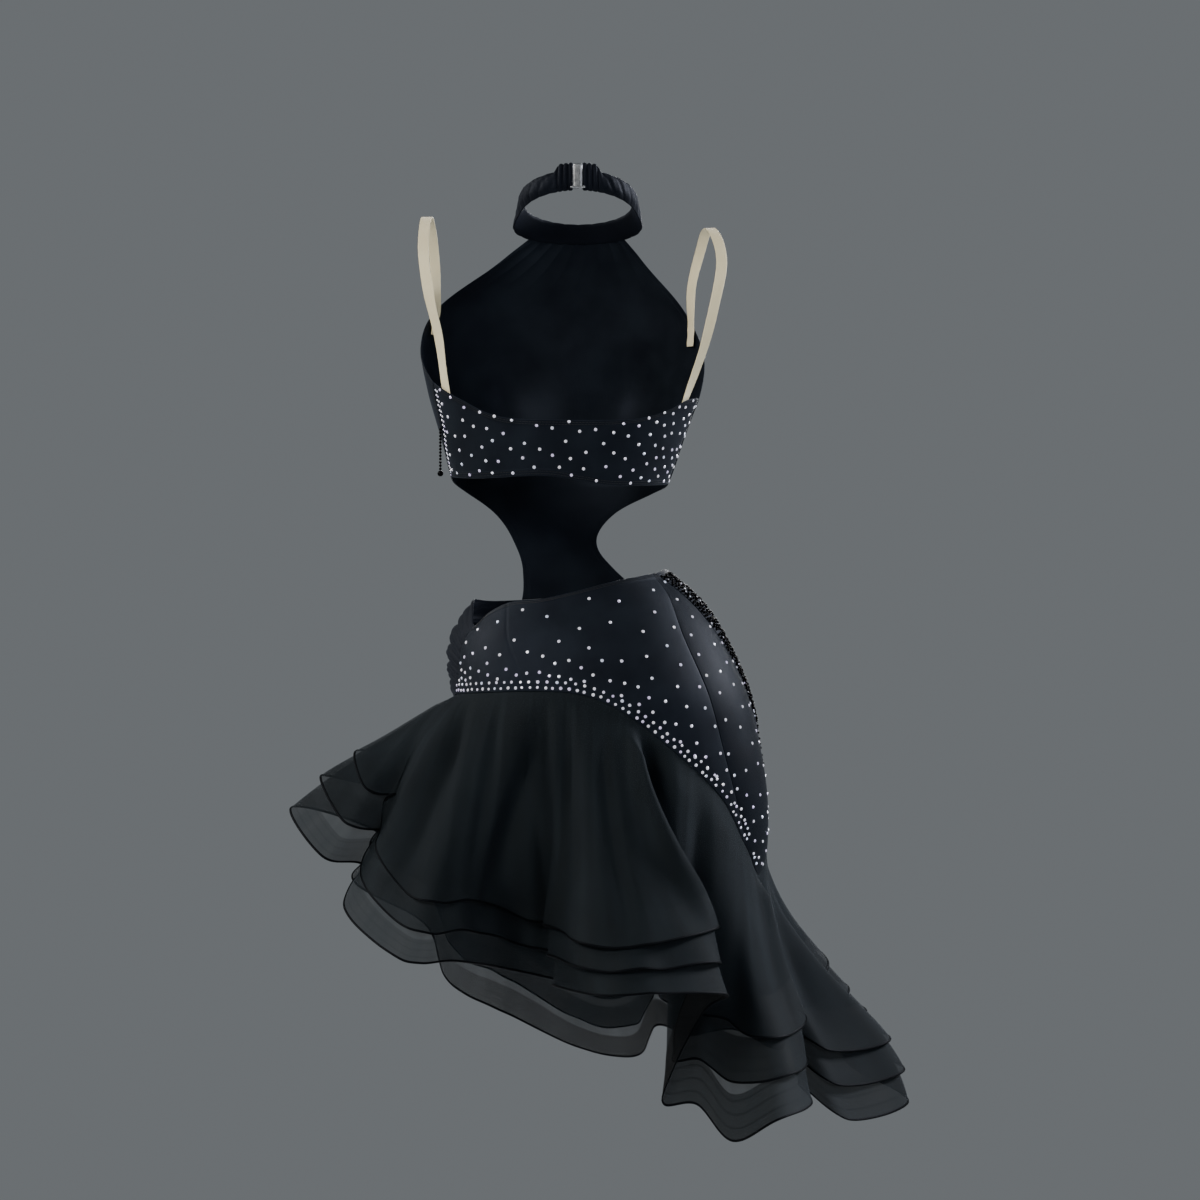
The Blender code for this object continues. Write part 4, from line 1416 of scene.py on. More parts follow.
def block(middle: Sequence[float], half: Sequence[float], axis: int, power: float,
          end_power: float, stations: int = 25, around: int = 32) -> Cloth:
    """A rounded bar or plate along one axis.

    Args:
        middle: its middle.
        half: its half sizes in X, Y and Z.
        axis: 0 for X and 2 for Z.
        power: squareness of its section.
        end_power: squareness of its ends.
        stations: sections along it.
        around: points round it.

    Returns:
        The closed body.
    """
    turns = np.linspace(0, 2 * np.pi, around, endpoint=False)
    first, second = superellipse(turns, power)
    slide = np.sin(np.linspace(-np.pi / 2, np.pi / 2, stations + 2)[1:-1])
    scale = (1 - np.abs(slide)**end_power)**(1 / end_power)
    grid = np.empty((len(slide), around, 3))
    others = {0: (1, 2), 2: (0, 1)}[axis]
    grid[..., axis] = slide[:, None] * half[axis]
    grid[..., others[0]] = scale[:, None] * first[None, :] * half[others[0]]
    grid[..., others[1]] = scale[:, None] * second[None, :] * half[others[1]]
    return tube(grid + np.array(middle))


def wire(path: Array, radius: float, side: Sequence[float], sides: int = 10,
         closed: bool = False) -> Cloth:
    """A round wire along a flat path.

    Args:
        path: its middle line.
        radius: half its thickness.
        side: straight out of the path's plane.
        sides: points round it.
        closed: join its ends.

    Returns:
        The wire.
    """
    if closed:
        ahead = np.roll(path, -1, axis=0) - np.roll(path, 1, axis=0)
    else:
        ahead = np.gradient(path, axis=0)
    out = np.broadcast_to(np.array(side, dtype=float), path.shape)
    cross = unit(np.cross(out, unit(ahead)))
    turns = np.linspace(0, 2 * np.pi, sides, endpoint=False)[None, :, None]
    ring = path[:, None] + radius * (np.cos(turns) * cross[:, None] + np.sin(turns) * out[:, None])
    return tube(ring, closed=closed)


def merge(*bodies: Cloth) -> Cloth:
    """Put several bodies in one mesh.

    Args:
        bodies: the meshes.

    Returns:
        One mesh.
    """
    points, faces, uv, start = [], [], [], 0
    for body in bodies:
        flat = body.points.reshape(-1, 3)
        points.append(flat)
        faces += [tuple(k + start for k in face) for face in body.faces]
        uv.append(body.uv.reshape(-1, 2) if body.uv is not None else np.zeros((len(flat), 2)))
        start += len(flat)
    return Cloth(np.concatenate(points), faces, np.concatenate(uv))


@dataclass
class Clasp:
    """Flat two-part clasp at the nape: a plate hooked into a wire frame."""

    finishes: Finishes
    y: float = -0.0545
    z: float = 0.0089
    plate: tuple = (7.6 * MM, 1.6 * MM, 26.5 * MM)
    frame_size: tuple = (8.4 * MM, 26.9 * MM)
    frame_wire: float = 0.7 * MM
    corner: float = 2.0 * MM
    bar: float = 1.15 * MM
    cross_bar: float = 16.0 * MM
    hook: float = 2.1 * MM

    def rounded_frame(self) -> Array:
        """Middle line of the wire frame.

        Returns:
            Points on a closed ring.
        """
        half_x, half_z = self.frame_size[0] / 2, self.frame_size[1] / 2
        turns = np.linspace(0, np.pi / 2, 7)
        points = []
        for k, (side_x, side_z) in enumerate(((1, 1), (-1, 1), (-1, -1), (1, -1))):
            angle = turns + k * np.pi / 2
            x = side_x * (half_x - self.corner) + self.corner * np.cos(angle)
            z = side_z * (half_z - self.corner) + self.corner * np.sin(angle)
            points.append(np.stack((x, np.full_like(x, self.y), self.z + z), axis=-1))
        return np.concatenate(points)

    def make(self) -> None:
        """Build the plate with its bars and hooks, and the frame."""
        face = self.y - self.frame_wire - 0.3 * MM - self.plate[1] / 2
        half = [size / 2 for size in self.plate]
        bodies = [block((0, face, self.z), half, 2, 7.0, 14.0)]
        for side in (-1, 1):
            place = (0, face - 0.25 * MM, self.z + side * (half[2] - 1.3 * MM))
            reach = self.cross_bar / 2 if side < 0 else half[0] + 0.2 * MM
            bodies.append(block(place, (reach, self.bar, self.bar), 0, 2.0, 6.0))
            turns = np.linspace(math.radians(-200), math.radians(60), 22)
            loop = np.stack((side * (half[0] + 1.1 * MM + self.hook * 0.62 * np.cos(turns)),
                             np.full_like(turns, face - 0.3 * MM),
                             self.z - half[2] + 1.5 * MM + self.hook * 0.62 * np.sin(turns)), -1)
            bodies.append(wire(loop, 0.45 * MM, (0, 1, 0)))
        plate = merge(*bodies).piece("clasp_hook_plate", self.finishes.nickel)
        seat(plate, "clasp metal", ["clasp_plate"])
        loop = wire(self.rounded_frame(), self.frame_wire, (0, 1, 0), 12, closed=True)
        seat(loop.piece("clasp_wire_frame", self.finishes.nickel), "clasp metal", ["clasp_frame"])


@dataclass(frozen=True)
class StrapPath:
    """Middle line of a shoulder strap, and the turn of its width about Z.

    back and front give the degrees and heights of its sewn ends.
    """

    name: str
    node: str
    back: tuple
    points: tuple
    front: tuple


@dataclass
class Straps:
    """Two shoulder straps of skin-tone elastic."""

    finishes: Finishes
    width: float = 11.0 * MM
    thick: float = 0.9 * MM
    back_lift: float = -2.0 * MM
    front_lift: float = -3.3 * MM
    cords: int = 8
    cord_height: float = 0.14 * MM
    looped_edge: float = 0.25 * MM
    curl: float = 0.25 * MM
    stitches: Stitches = field(default_factory=Stitches)
    paths: tuple = (
        StrapPath("left_strap", "strap_left", (213, (-0.232, -0.214)), (
            (-0.151, -0.060, -0.165, -36), (-0.161, -0.068, -0.121, -22),
            (-0.167, -0.060, -0.077, -8), (-0.167, -0.036, -0.044, 0),
            (-0.165, -0.002, -0.031, 6), (-0.161, 0.026, -0.054, 18),
            (-0.158, 0.034, -0.092, 30)), (160, (-0.130, -0.143, -0.156))),
        StrapPath("right_strap", "strap_right", (334, (-0.250, -0.232)), (
            (0.136, -0.056, -0.180, 34), (0.148, -0.066, -0.132, 20),
            (0.156, -0.060, -0.088, 8), (0.152, -0.038, -0.058, 0),
            (0.143, -0.002, -0.043, -8), (0.135, 0.030, -0.066, -20),
            (0.126, 0.046, -0.104, -34)), (30, (-0.142, -0.155, -0.168))),
    )

    def lap(self, degrees: float, heights: tuple, lift: float, near: float) -> list:
        """The sewn end of a strap, against the inside of the cloth.

        Args:
            degrees: where it is sewn on.
            heights: from its end upwards.
            lift: off the figure.
            near: the turn to stay close to, in degrees.

        Returns:
            Middle points, each with its turn in degrees.
        """
        rows = []
        for height in heights:
            middle = FIGURE.point(degrees, height, lift)
            aside = FIGURE.surface(degrees + 2, height) - FIGURE.surface(degrees - 2, height)
            turn = math.degrees(math.atan2(aside[1], aside[0]))
            turn -= 180 * round((turn - near) / 180)
            rows.append((*middle, turn))
        return rows

    def make(self) -> None:
        """Build both straps and their box stitching."""
        for path in self.paths:
            rows = (self.lap(*path.back, self.back_lift, path.points[0][3]) + list(path.points)
                    + self.lap(*path.front, self.front_lift, path.points[-1][3]))
            table = np.array([(k, *row) for k, row in enumerate(rows)])
            v = np.linspace(0, 1, 300)
            read = smooth(table, v * (len(rows) - 1))
            middle, turn = read[:, :3], np.radians(read[:, 3])
            width = np.stack((np.cos(turn), np.sin(turn), np.zeros_like(turn)), axis=-1)
            ahead = unit(np.gradient(middle, axis=0))
            out = unit(np.cross(width, ahead))
            u = np.linspace(-1, 1, 33)[:, None]
            edge = 1 - self.looped_edge / self.width * np.abs(np.sin(v * 130))[None, :]
            across = middle + width * (u * edge * self.width / 2)[..., None]
            cords = np.abs(np.cos(np.pi * self.cords * (u + 1) / 2)) * self.cord_height
            slack = self.curl * np.sin(v * 60)[None, :] * u
            half = (self.thick / 2 - self.cord_height + cords)[..., None]
            grid = across + out * slack[..., None]
            cloth = shell(grid - out * half, grid + out * half)
            piece = cloth.piece(path.name, self.finishes.elastic)
            seat(piece, "skin-tone elastic", [path.node])
            FlatCloth("stretched", ("back_band_cloth", "halter_front")).declare(piece)
            for run in (slice(8, 14), slice(-14, -8)):
                spots = np.concatenate([across[k][run] for k in (6, 11, 16, 21, 26)])
                face = np.tile(out[run], (5, 1))
                self.stitches.add(spots + face * self.thick / 2, face, np.tile(width[run], (5, 1)))
        sewn = self.stitches.make("strap_stitches", self.finishes.pale_thread, 1.8 * MM)
        seat(sewn, "skin-tone elastic")


@dataclass
class BeadStrand:
    """Short strand of black beads at the left side seam, with a ball at its end."""

    finishes: Finishes
    at: tuple = (200, -0.262)
    beads: int = 13
    radius: float = 1.5 * MM
    pitch: float = 3.6 * MM
    end_radius: float = 3.2 * MM
    wall: float = 1.5 * MM

    def make(self) -> None:
        """String the beads on their thread."""
        top = FIGURE.point(*self.at, self.wall + 0.3 * MM + self.radius)
        drops = (np.arange(self.beads) + 0.5) * self.pitch
        points = top - drops[:, None] * np.array((0, 0, 1.0))
        facing = np.tile((0, 0, 1.0), (self.beads, 1))
        sizes = np.full(self.beads, 2.1 * self.radius)
        beads = Scatter("strand_beads", Small.BEAD, self.finishes.glass, points, facing,
                        sizes).make()
        end = top - np.array((0, 0, self.beads * self.pitch + self.end_radius))
        ball = block(end, (self.end_radius,) * 3, 2, 2.0, 2.0, 17, 24)
        line = np.stack([top + np.array((0, 0, 1.2 * MM)), end])
        line = line[0] + np.linspace(0, 1, 12)[:, None] * (line[1] - line[0])
        thread = wire(line, 0.4 * MM, (0, 1, 0), 8)
        seat(beads, "black beads", ["bead_strand"])
        seat(ball.piece("strand_ball", self.finishes.glass), "black beads")
        seat(thread.piece("strand_thread", self.finishes.thread), "black beads")


# Yoke of the skirt

def seam_edge(points: tuple, turns: int = 0) -> Edge:
    """A skirt seam, with its ends set exactly on the ruffle seam and the waist."""
    low, high = points[0][0], points[-1][0]
    exact = ((low, float(ruffle_seam(low))), *points[1:-1], (high, float(waist(high))))
    return lambda v: along(exact)(v) + np.array((turns * FULL_TURN, 0.0))


def seams(first: tuple, last: tuple, turns: int = 0) -> tuple[Edge, Edge, Edge, Edge]:
    """A skirt panel's bottom, top, left and right edges, between two seams.

    Args:
        first, last: the two seams.
        turns: whole turns to add to the last.

    Returns:
        The four edges.
    """
    turned = turns * FULL_TURN
    return (level_edge(first[0][0], last[0][0] + turned, ruffle_seam),
            level_edge(first[-1][0], last[-1][0] + turned, waist),
            seam_edge(last, turns), seam_edge(first))


@dataclass
class Yoke:
    """Back and side panels of the hip yoke, the ruched drape and the beaded hip band."""

    finishes: Finishes
    stitches: Stitches
    drape_fold: float = 3.0 * MM
    drape_lift: float = 2.5 * MM
    hip_puff: float = 9.0 * MM
    hip_puff_at: float = 536.0
    hip_puff_spread: float = 22.0
    fine_fold: float = 1.7 * MM
    band_puff: float = 2.4 * MM
    band_gathers: int = 26
    band_gather: float = 1.3 * MM
    back_drift: float = 0.35 * MM
    back_seam: float = 0.45 * MM
    side_rise: float = 0.6 * MM
    back: Panel = field(init=False)
    side: Panel = field(init=False)
    drape: Panel = field(init=False)
    band: Panel = field(init=False)

    def __post_init__(self) -> None:
        """Set out the four panels."""
        self.back = Panel("yoke_back", *seams(DRAPE_SEAM, PRINCESS_SEAM), 190, 96,
                          hems=(Side.TOP,), relief=self.back_relief)
        self.side = Panel("yoke_side", *seams(PRINCESS_SEAM, BAND_INNER), 60, 110,
                          hems=(Side.TOP,), relief=self.side_relief)
        self.drape = Panel("ruched_hip_drape", *seams(BAND_OUTER, DRAPE_SEAM, 1), 250, 130,
                           relief=self.drape_relief)
        self.band = Panel("beaded_hip_band", *seams(BAND_INNER, BAND_OUTER), 26, 200,
                          relief=self.band_relief)

    def back_relief(self, u: Array, v: Array) -> Array:
        """A short seam on the left and faint pulls to the seams.

        Args:
            u, v: shares across and up.

        Returns:
            Metres outwards.
        """
        place = self.back.read(u, v)
        seam = 229.5 + (-0.465 - place[..., 1]) / 0.085 * 13
        groove = bump(place[..., 0] - seam, 0, 0.55) * ease(0.05, 0.2, v)
        return (0.4 * MM + self.back_drift * ripples(u, v, 21, 2.4, 2.0)
                - self.back_seam * groove - 0.3 * MM * bump(u, 1, 0.012))

    def side_relief(self, u: Array, v: Array) -> Array:
        """A little fullness beside the princess seam."""
        return (self.side_rise * np.sin(np.pi * u)**0.7 + 0.3 * MM * ripples(u, v, 31, 1.2, 2.6)
                - 0.3 * MM * bump(u, 0, 0.05))

    def drape_relief(self, u: Array, v: Array) -> Array:
        """Uneven folds that run from hip to hip, fullest over the left hip.

        Args:
            u, v: shares across and up.

        Returns:
            Metres outwards.
        """
        first, last = BAND_OUTER[0][0], DRAPE_SEAM[0][0] + FULL_TURN
        degrees = first + u * (last - first)
        puff = self.hip_puff * bump(degrees, self.hip_puff_at, self.hip_puff_spread)
        drift = (v + 0.035 * np.sin(2 * np.pi * (1.1 * u + 0.1)) + 0.022 * np.sin(
            2 * np.pi * (2.7 * u + 0.35 + 0.6 * v)) + 0.012 * np.sin(2 * np.pi * 6.1 * u + 9 * v))
        main = np.abs(np.sin(np.pi * (5.2 * drift + 0.15 * np.sin(11 * u))))**0.6
        fine = np.abs(np.sin(np.pi * (13 * drift + 0.6 * np.sin(5.3 * u + 6 * v) + 2.2 * u)))**0.7
        strength = 0.8 + 0.3 * ripples(u, v, 41, 2.0, 1.5)
        folds = (2 * main - 1) * self.drape_fold * strength + (fine - 0.5) * self.fine_fold
        held = np.minimum(1, np.minimum(u, 1 - u) * 6) * np.maximum(0, np.sin(np.pi * v))**0.5
        edge = (1 - held) * 0.5 * MM * (fine - 0.3)
        return held * (self.drape_lift + puff + folds) + edge

    def band_relief(self, u: Array, v: Array) -> Array:
        """Rounded across and gathered along its length.

        Args:
            u, v: shares across and up.

        Returns:
            Metres outwards.
        """
        drift = v + 0.006 * np.sin(9 * u + 40 * v)
        gathers = np.abs(np.sin(np.pi * self.band_gathers * drift))**0.7
        held = np.minimum(1, np.minimum(v, 1 - v) * 6)
        round_over = np.sin(np.pi * np.clip(u, 0, 1))
        return held * round_over * (self.band_puff + self.band_gather * gathers) + 0.2 * MM

    def make(self) -> None:
        """Cut and sew the yoke."""
        rows = ((self.back, self.finishes.jersey, "black jersey", "skirt_back", "stretched"),
                # The side panel takes the darker copy of the jersey: painted shade, not a
                # different cut of cloth.
                (self.side, self.finishes.shaded_side_jersey, "black jersey", "skirt_side", "stretched"),
                (self.drape, self.finishes.ruched, "ruched jersey", "hip_drape", "gathered"),
                (self.band, self.finishes.ruched, "ruched jersey", "hip_band", "gathered"))
        for panel, finish, slot, node, held in rows:
            piece = panel.cloth().piece(panel.name, finish)
            seat(piece, slot, [node])
            FlatCloth(held, ("halter_front",)).declare(piece)
            panel.sew(self.stitches)


# Ruffles

@dataclass
class Ruffles:
    """Three tiers of organza flounce, each a full circle with a crinoline hem.

    Each fold is the degrees where it leaves the seam, where the longest tier's hem lies,
    how far it springs from the body, how far the hem turns out, and the length that each
    tier above loses. Each valley is its degrees at the seam, its drift on the way down, its
    width, its depth in mm (a ridge if negative), and the shares of the drop where it is
    fully deep and where it ends.
    """

    finishes: Finishes
    folds: tuple = (
        (180, -0.311, -0.050, -0.676, 0.7, -0.2, 0.047),
        (188, -0.271, -0.140, -0.724, 0.7, 0.0, 0.045),
        (196, -0.228, -0.112, -0.736, 0.5, 0.1, 0.040),
        (205, -0.247, -0.160, -0.776, 0.3, 0.3, 0.038),
        (216, -0.181, -0.260, -0.821, 0.1, 0.4, 0.036),
        (228, -0.125, -0.230, -0.826, 0.0, 0.2, 0.034),
        (240, -0.071, -0.140, -0.844, 0.0, -0.1, 0.029),
        (249, -0.006, -0.120, -0.861, 0.0, -0.1, 0.030),
        (256, -0.025, -0.200, -0.854, 0.0, 0.1, 0.031),
        (266, 0.024, -0.290, -0.855, 0.0, 0.3, 0.027),
        (276, 0.085, -0.300, -0.852, 0.0, 0.3, 0.027),
        (285, 0.156, -0.250, -0.859, 0.0, 0.1, 0.034),
        (293, 0.131, -0.196, -0.885, 0.0, 0.0, 0.042),
        (301, 0.090, -0.163, -0.978, 0.0, 0.1, 0.047),
        (310, 0.127, -0.172, -0.983, 0.0, 0.2, 0.047),
        (317, 0.162, -0.206, -1.016, 0.0, 0.2, 0.064),
        (324, 0.205, -0.250, -0.989, 0.0, 0.3, 0.048),
        (332, 0.246, -0.190, -0.980, 0.0, 0.1, 0.042),
        (339, 0.238, -0.110, -0.970, 0.0, -0.1, 0.040),
        (347, 0.291, -0.120, -1.006, -0.6, 0.3, 0.038),
        (355, 0.360, -0.040, -0.997, -1.3, -0.4, 0.032),
        (366, 0.296, 0.030, -0.961, -1.3, 0.3, 0.035),
        (378, 0.325, 0.110, -0.914, -1.1, 0.6, 0.038),
        (392, 0.251, 0.130, -0.917, -0.9, 0.2, 0.040),
        (407, 0.233, 0.220, -0.973, -0.5, 0.3, 0.040),
        (421, 0.179, 0.170, -0.944, -0.2, -0.1, 0.040),
        (434, 0.129, 0.250, -0.960, 0.0, 0.3, 0.040),
        (446, 0.089, 0.190, -0.942, 0.0, -0.1, 0.040),
        (456, 0.069, 0.270, -0.986, 0.0, 0.2, 0.040),
        (466, 0.007, 0.250, -0.977, 0.0, 0.3, 0.040),
        (479, -0.074, 0.180, -0.931, 0.0, -0.1, 0.040),
        (493, -0.151, 0.200, -0.892, 0.0, 0.3, 0.040),
        (506, -0.174, 0.120, -0.819, 0.0, -0.1, 0.040),
        (518, -0.256, 0.110, -0.767, 0.3, 0.3, 0.040),
        (529, -0.214, 0.030, -0.715, 0.5, -0.1, 0.040),
    )
    tiers: int = 3
    columns: int = 680
    rows: int = 58
    tier_pitch: float = 1.6 * MM
    tier_spread: float = 0.6 * MM
    seam_pitch: float = 0.45 * MM
    seam_gap: float = 0.3 * MM
    braid: float = 32 * MM
    deep_braid: float = 22 * MM
    braid_aside: float = -0.45 * MM
    braid_rows: int = 9
    binding: float = 2.2 * MM
    ripple: tuple = (0.5 * MM, 0.3 * MM)
    crushed: float = 3.4 * MM
    crushed_at: float = 199.0
    crushed_spread: float = 12.0
    flutter_rise: tuple = (1.0 * MM, 4.5 * MM)
    valleys: tuple = (
        (214.5, -6.0, 3.6, 17.0, 0.25, 0.80),
        (231.0, -3.0, 2.6, 7.0, 0.25, 0.90),
        (250.0, -22.0, 3.8, 16.0, 0.30, 0.85),
        (257.5, 1.0, 2.6, 11.0, 0.30, 1.00),
        (271.0, 3.0, 2.4, 6.0, 0.30, 0.95),
        (281.0, 8.0, 2.8, -16.0, 0.14, 0.95),
        (286.5, 14.0, 3.4, 20.0, 0.14, 0.90),
        (289.0, 6.0, 4.0, 12.0, 0.08, 0.26),
        (305.0, 0.0, 3.0, 7.0, 0.20, 0.80),
        (334.5, 0.0, 2.6, -8.0, 0.16, 1.00),
        (341.0, 0.0, 2.8, 14.0, 0.14, 1.00),
        (357.0, 0.0, 3.0, 6.0, 0.30, 0.90),
    )

    def rays(self, degrees: Array) -> tuple[Array, Array, Array, Array]:
        """Threads of the longest tier.

        Args:
            degrees: where they leave the seam.

        Returns:
            Four control points each, the outward normal at the seam, their length and the
            step between the tiers.
        """
        height = ruffle_seam(degrees)
        seam = FIGURE.surface(degrees, height)
        out = FIGURE.normal(degrees, height)
        turn = 0.5
        tangent = unit(FIGURE.surface(degrees + turn, ruffle_seam(degrees + turn))
                       - FIGURE.surface(degrees - turn, ruffle_seam(degrees - turn)))
        down = np.cross(tangent, out)
        table = np.array(self.folds)
        read = smooth_round(table, degrees)
        hem, spring, flare, step = read[:, :3], read[:, 3:4], read[:, 4:5], read[:, 5]
        mean = np.mean([smooth_round(table, degrees + aside)[:, :3]
                        for aside in range(-24, 25, 6)], axis=0)
        chord = hem - seam
        length = np.linalg.norm(chord, axis=-1)
        level = unit(chord * np.array((1.0, 1.0, 0.0)))
        start = unit(down * (0.4 - spring * 0.6) + unit(mean - seam) * 0.8
                     + out * (0.25 + spring * 0.6))
        end = unit(unit(chord) + level * flare * 0.8)
        seam = seam + down * self.seam_gap
        reach = length[:, None] / 3
        return (np.stack((seam, seam + start * reach, hem - end * reach, hem), axis=1), out,
                length, step)

    @staticmethod
    def on_rays(controls: Array, t: Array) -> Array:
        """Points along threads, for one row of t each."""
        t = t[..., None]
        a, b, c, d = (controls[:, None, k] for k in range(4))
        return a * (1 - t)**3 + b * 3 * t * (1 - t)**2 + c * 3 * t**2 * (1 - t) + d * t**3

    def creases(self, degrees: Array, t: Array) -> Array:
        """Soft valleys and ridges between the main folds.

        Args:
            degrees: place round the seam.
            t: shares down the cloth.

        Returns:
            Metres outwards.
        """
        free = ease(0.02, 0.35, t)
        total = np.zeros_like(t)
        for at, drift, width, depth, deep, end in self.valleys:
            total -= depth * MM * bump(degrees - drift * t, at, width) * ease(
                0.0, deep, t) * (1 - ease(0.6 * end, end + 0.05, t))
        wander = degrees + 1.6 * np.sin(np.radians(degrees * 5)) * t
        coarse, fine = self.ripple
        total += coarse * np.sin(np.radians(wander * 41) + 1.2 * t) * free * (1 - 0.5 * t)
        total += fine * np.sin(np.radians(wander * 67) + 2.5 * t) * free * t
        crushed = bump(degrees, self.crushed_at, self.crushed_spread) * ease(0.3, 0.7, t)
        total += self.crushed * crushed * np.sin(np.radians(degrees * 27) + 5 * t) * np.sin(
            9 * t + np.radians(degrees * 6))
        return total

    def surface(self, degrees: Array, t: Array, tier: int, aside: float = 0.0) -> Array:
        """Points on a tier.

        Args:
            degrees: one value for each column.
            t: (columns, rows) shares of the longest tier.
            tier: 1 for the shortest and uppermost.
            aside: distance off the tier's middle.

        Returns:
            (columns, rows, 3) points.
        """
        controls, out, _, _ = self.rays(degrees)
        turn, drop = 0.4, 0.02
        across = (self.on_rays(self.rays(degrees + turn)[0], t)
                  - self.on_rays(self.rays(degrees - turn)[0], t))
        middle = np.maximum(t, drop)
        up = self.on_rays(controls, middle - drop) - self.on_rays(controls, middle + drop)
        steep = np.minimum(1, t / 0.15)[..., None]
        normal = unit(out[:, None] * (1 - steep) + unit(np.cross(across, up)) * steep)
        above = self.tiers - tier
        held = ease(0.0, 0.12, t)
        lift = above * (self.seam_pitch * (1 - held)
                        + (self.tier_pitch + self.tier_spread * t) * held)
        lift = lift + self.creases(degrees[:, None], t) + self.flutter(degrees[:, None], t, tier)
        return self.on_rays(controls, t) + normal * (lift + aside)[..., None]

    def flutter(self, degrees: Array, t: Array, tier: int) -> Array:
        """How far each upper tier stands off near its own hem.

        Args:
            degrees: place round the seam.
            t: shares down the cloth.
            tier: which one.

        Returns:
            Metres outwards.
        """
        total = np.zeros(np.broadcast(degrees, t).shape)
        for above in range(tier, self.tiers):
            hem = self.hem(degrees[:, 0], above)[:, None]
            rise = ease(0.55, 1.0, t / hem)
            wave = 0.5 + 0.5 * np.sin(np.radians(degrees * (23 + 8 * above)) + 2.1 * above)
            total += rise * (self.flutter_rise[0] + self.flutter_rise[1] * wave)
        return total

    def hem(self, degrees: Array, tier: int) -> Array:
        """Where a tier ends, as a share of the longest tier."""
        _, _, length, step = self.rays(degrees)
        return 1 - (self.tiers - tier) * step / length

    def make(self) -> None:
        """Cut, gather and bind the three tiers."""
        degrees = 180.0 + np.arange(self.columns) * FULL_TURN / self.columns
        length = self.rays(degrees)[2]
        for tier in range(1, self.tiers + 1):
            hem = self.hem(degrees, tier)[:, None]
            share = np.linspace(0, 1, self.rows)[None, :]
            skirt = self.closed(self.surface(degrees, hem * share, tier))
            nodes = [f"ruffle_{tier}_{number}" for number in range(1, 5)]
            piece = skirt.piece(f"ruffle_tier_{tier}", self.finishes.organza)
            strip = np.linspace(0, 1, self.braid_rows)[None, :]
            wide = self.braid + self.deep_braid * bump(degrees, 330, 38)
            start = hem - (wide / length)[:, None]
            braid = self.closed(self.surface(degrees, start + (hem - start) * strip, tier,
                                             self.braid_aside))
            braid_piece = braid.piece(f"braid_{tier}", self.finishes.braid)
            edge = self.roll(degrees, hem, length, tier)
            edge_piece = edge.piece(f"hem_binding_{tier}", self.finishes.binding)
            seat(piece, "black organza", nodes)
            seat(braid_piece, "black organza")
            seat(edge_piece, "black organza")
            FlatCloth("gathered", ("yoke_back", "yoke_side"), walls=1).declare(
                piece)

    @staticmethod
    def closed(grid: Array) -> Cloth:
        """A single layer that runs all the way round.

        The first column is repeated at the end, so that the cloth's coordinates don't wrap.
        """
        grid = np.concatenate((grid, grid[:1]), axis=0)
        return Cloth(grid, grid_faces(*grid.shape[:2]), flat_map(grid))

    def roll(self, degrees: Array, hem: Array, length: Array, tier: int) -> Cloth:
        """The narrow binding folded over a hem.

        Args:
            degrees: place round the seam.
            hem: where the hem lies, as a share.
            length: of each thread.
            tier: which one.

        Returns:
            The mesh.
        """
        wide = (self.binding / length)[:, None]
        backs = np.array((1.0, 0.5, 0.0, -0.18, 0.0, 0.5, 1.0))[None, :]
        asides = np.array((-0.6, -0.7, -0.6, 0.0, 0.6, 0.7, 0.6)) * MM
        rows = [self.surface(degrees, hem - wide * backs[:, k:k + 1], tier, asides[k])
                for k in range(backs.shape[1])]
        return self.closed(np.concatenate(rows, axis=1))


# Stones and beads

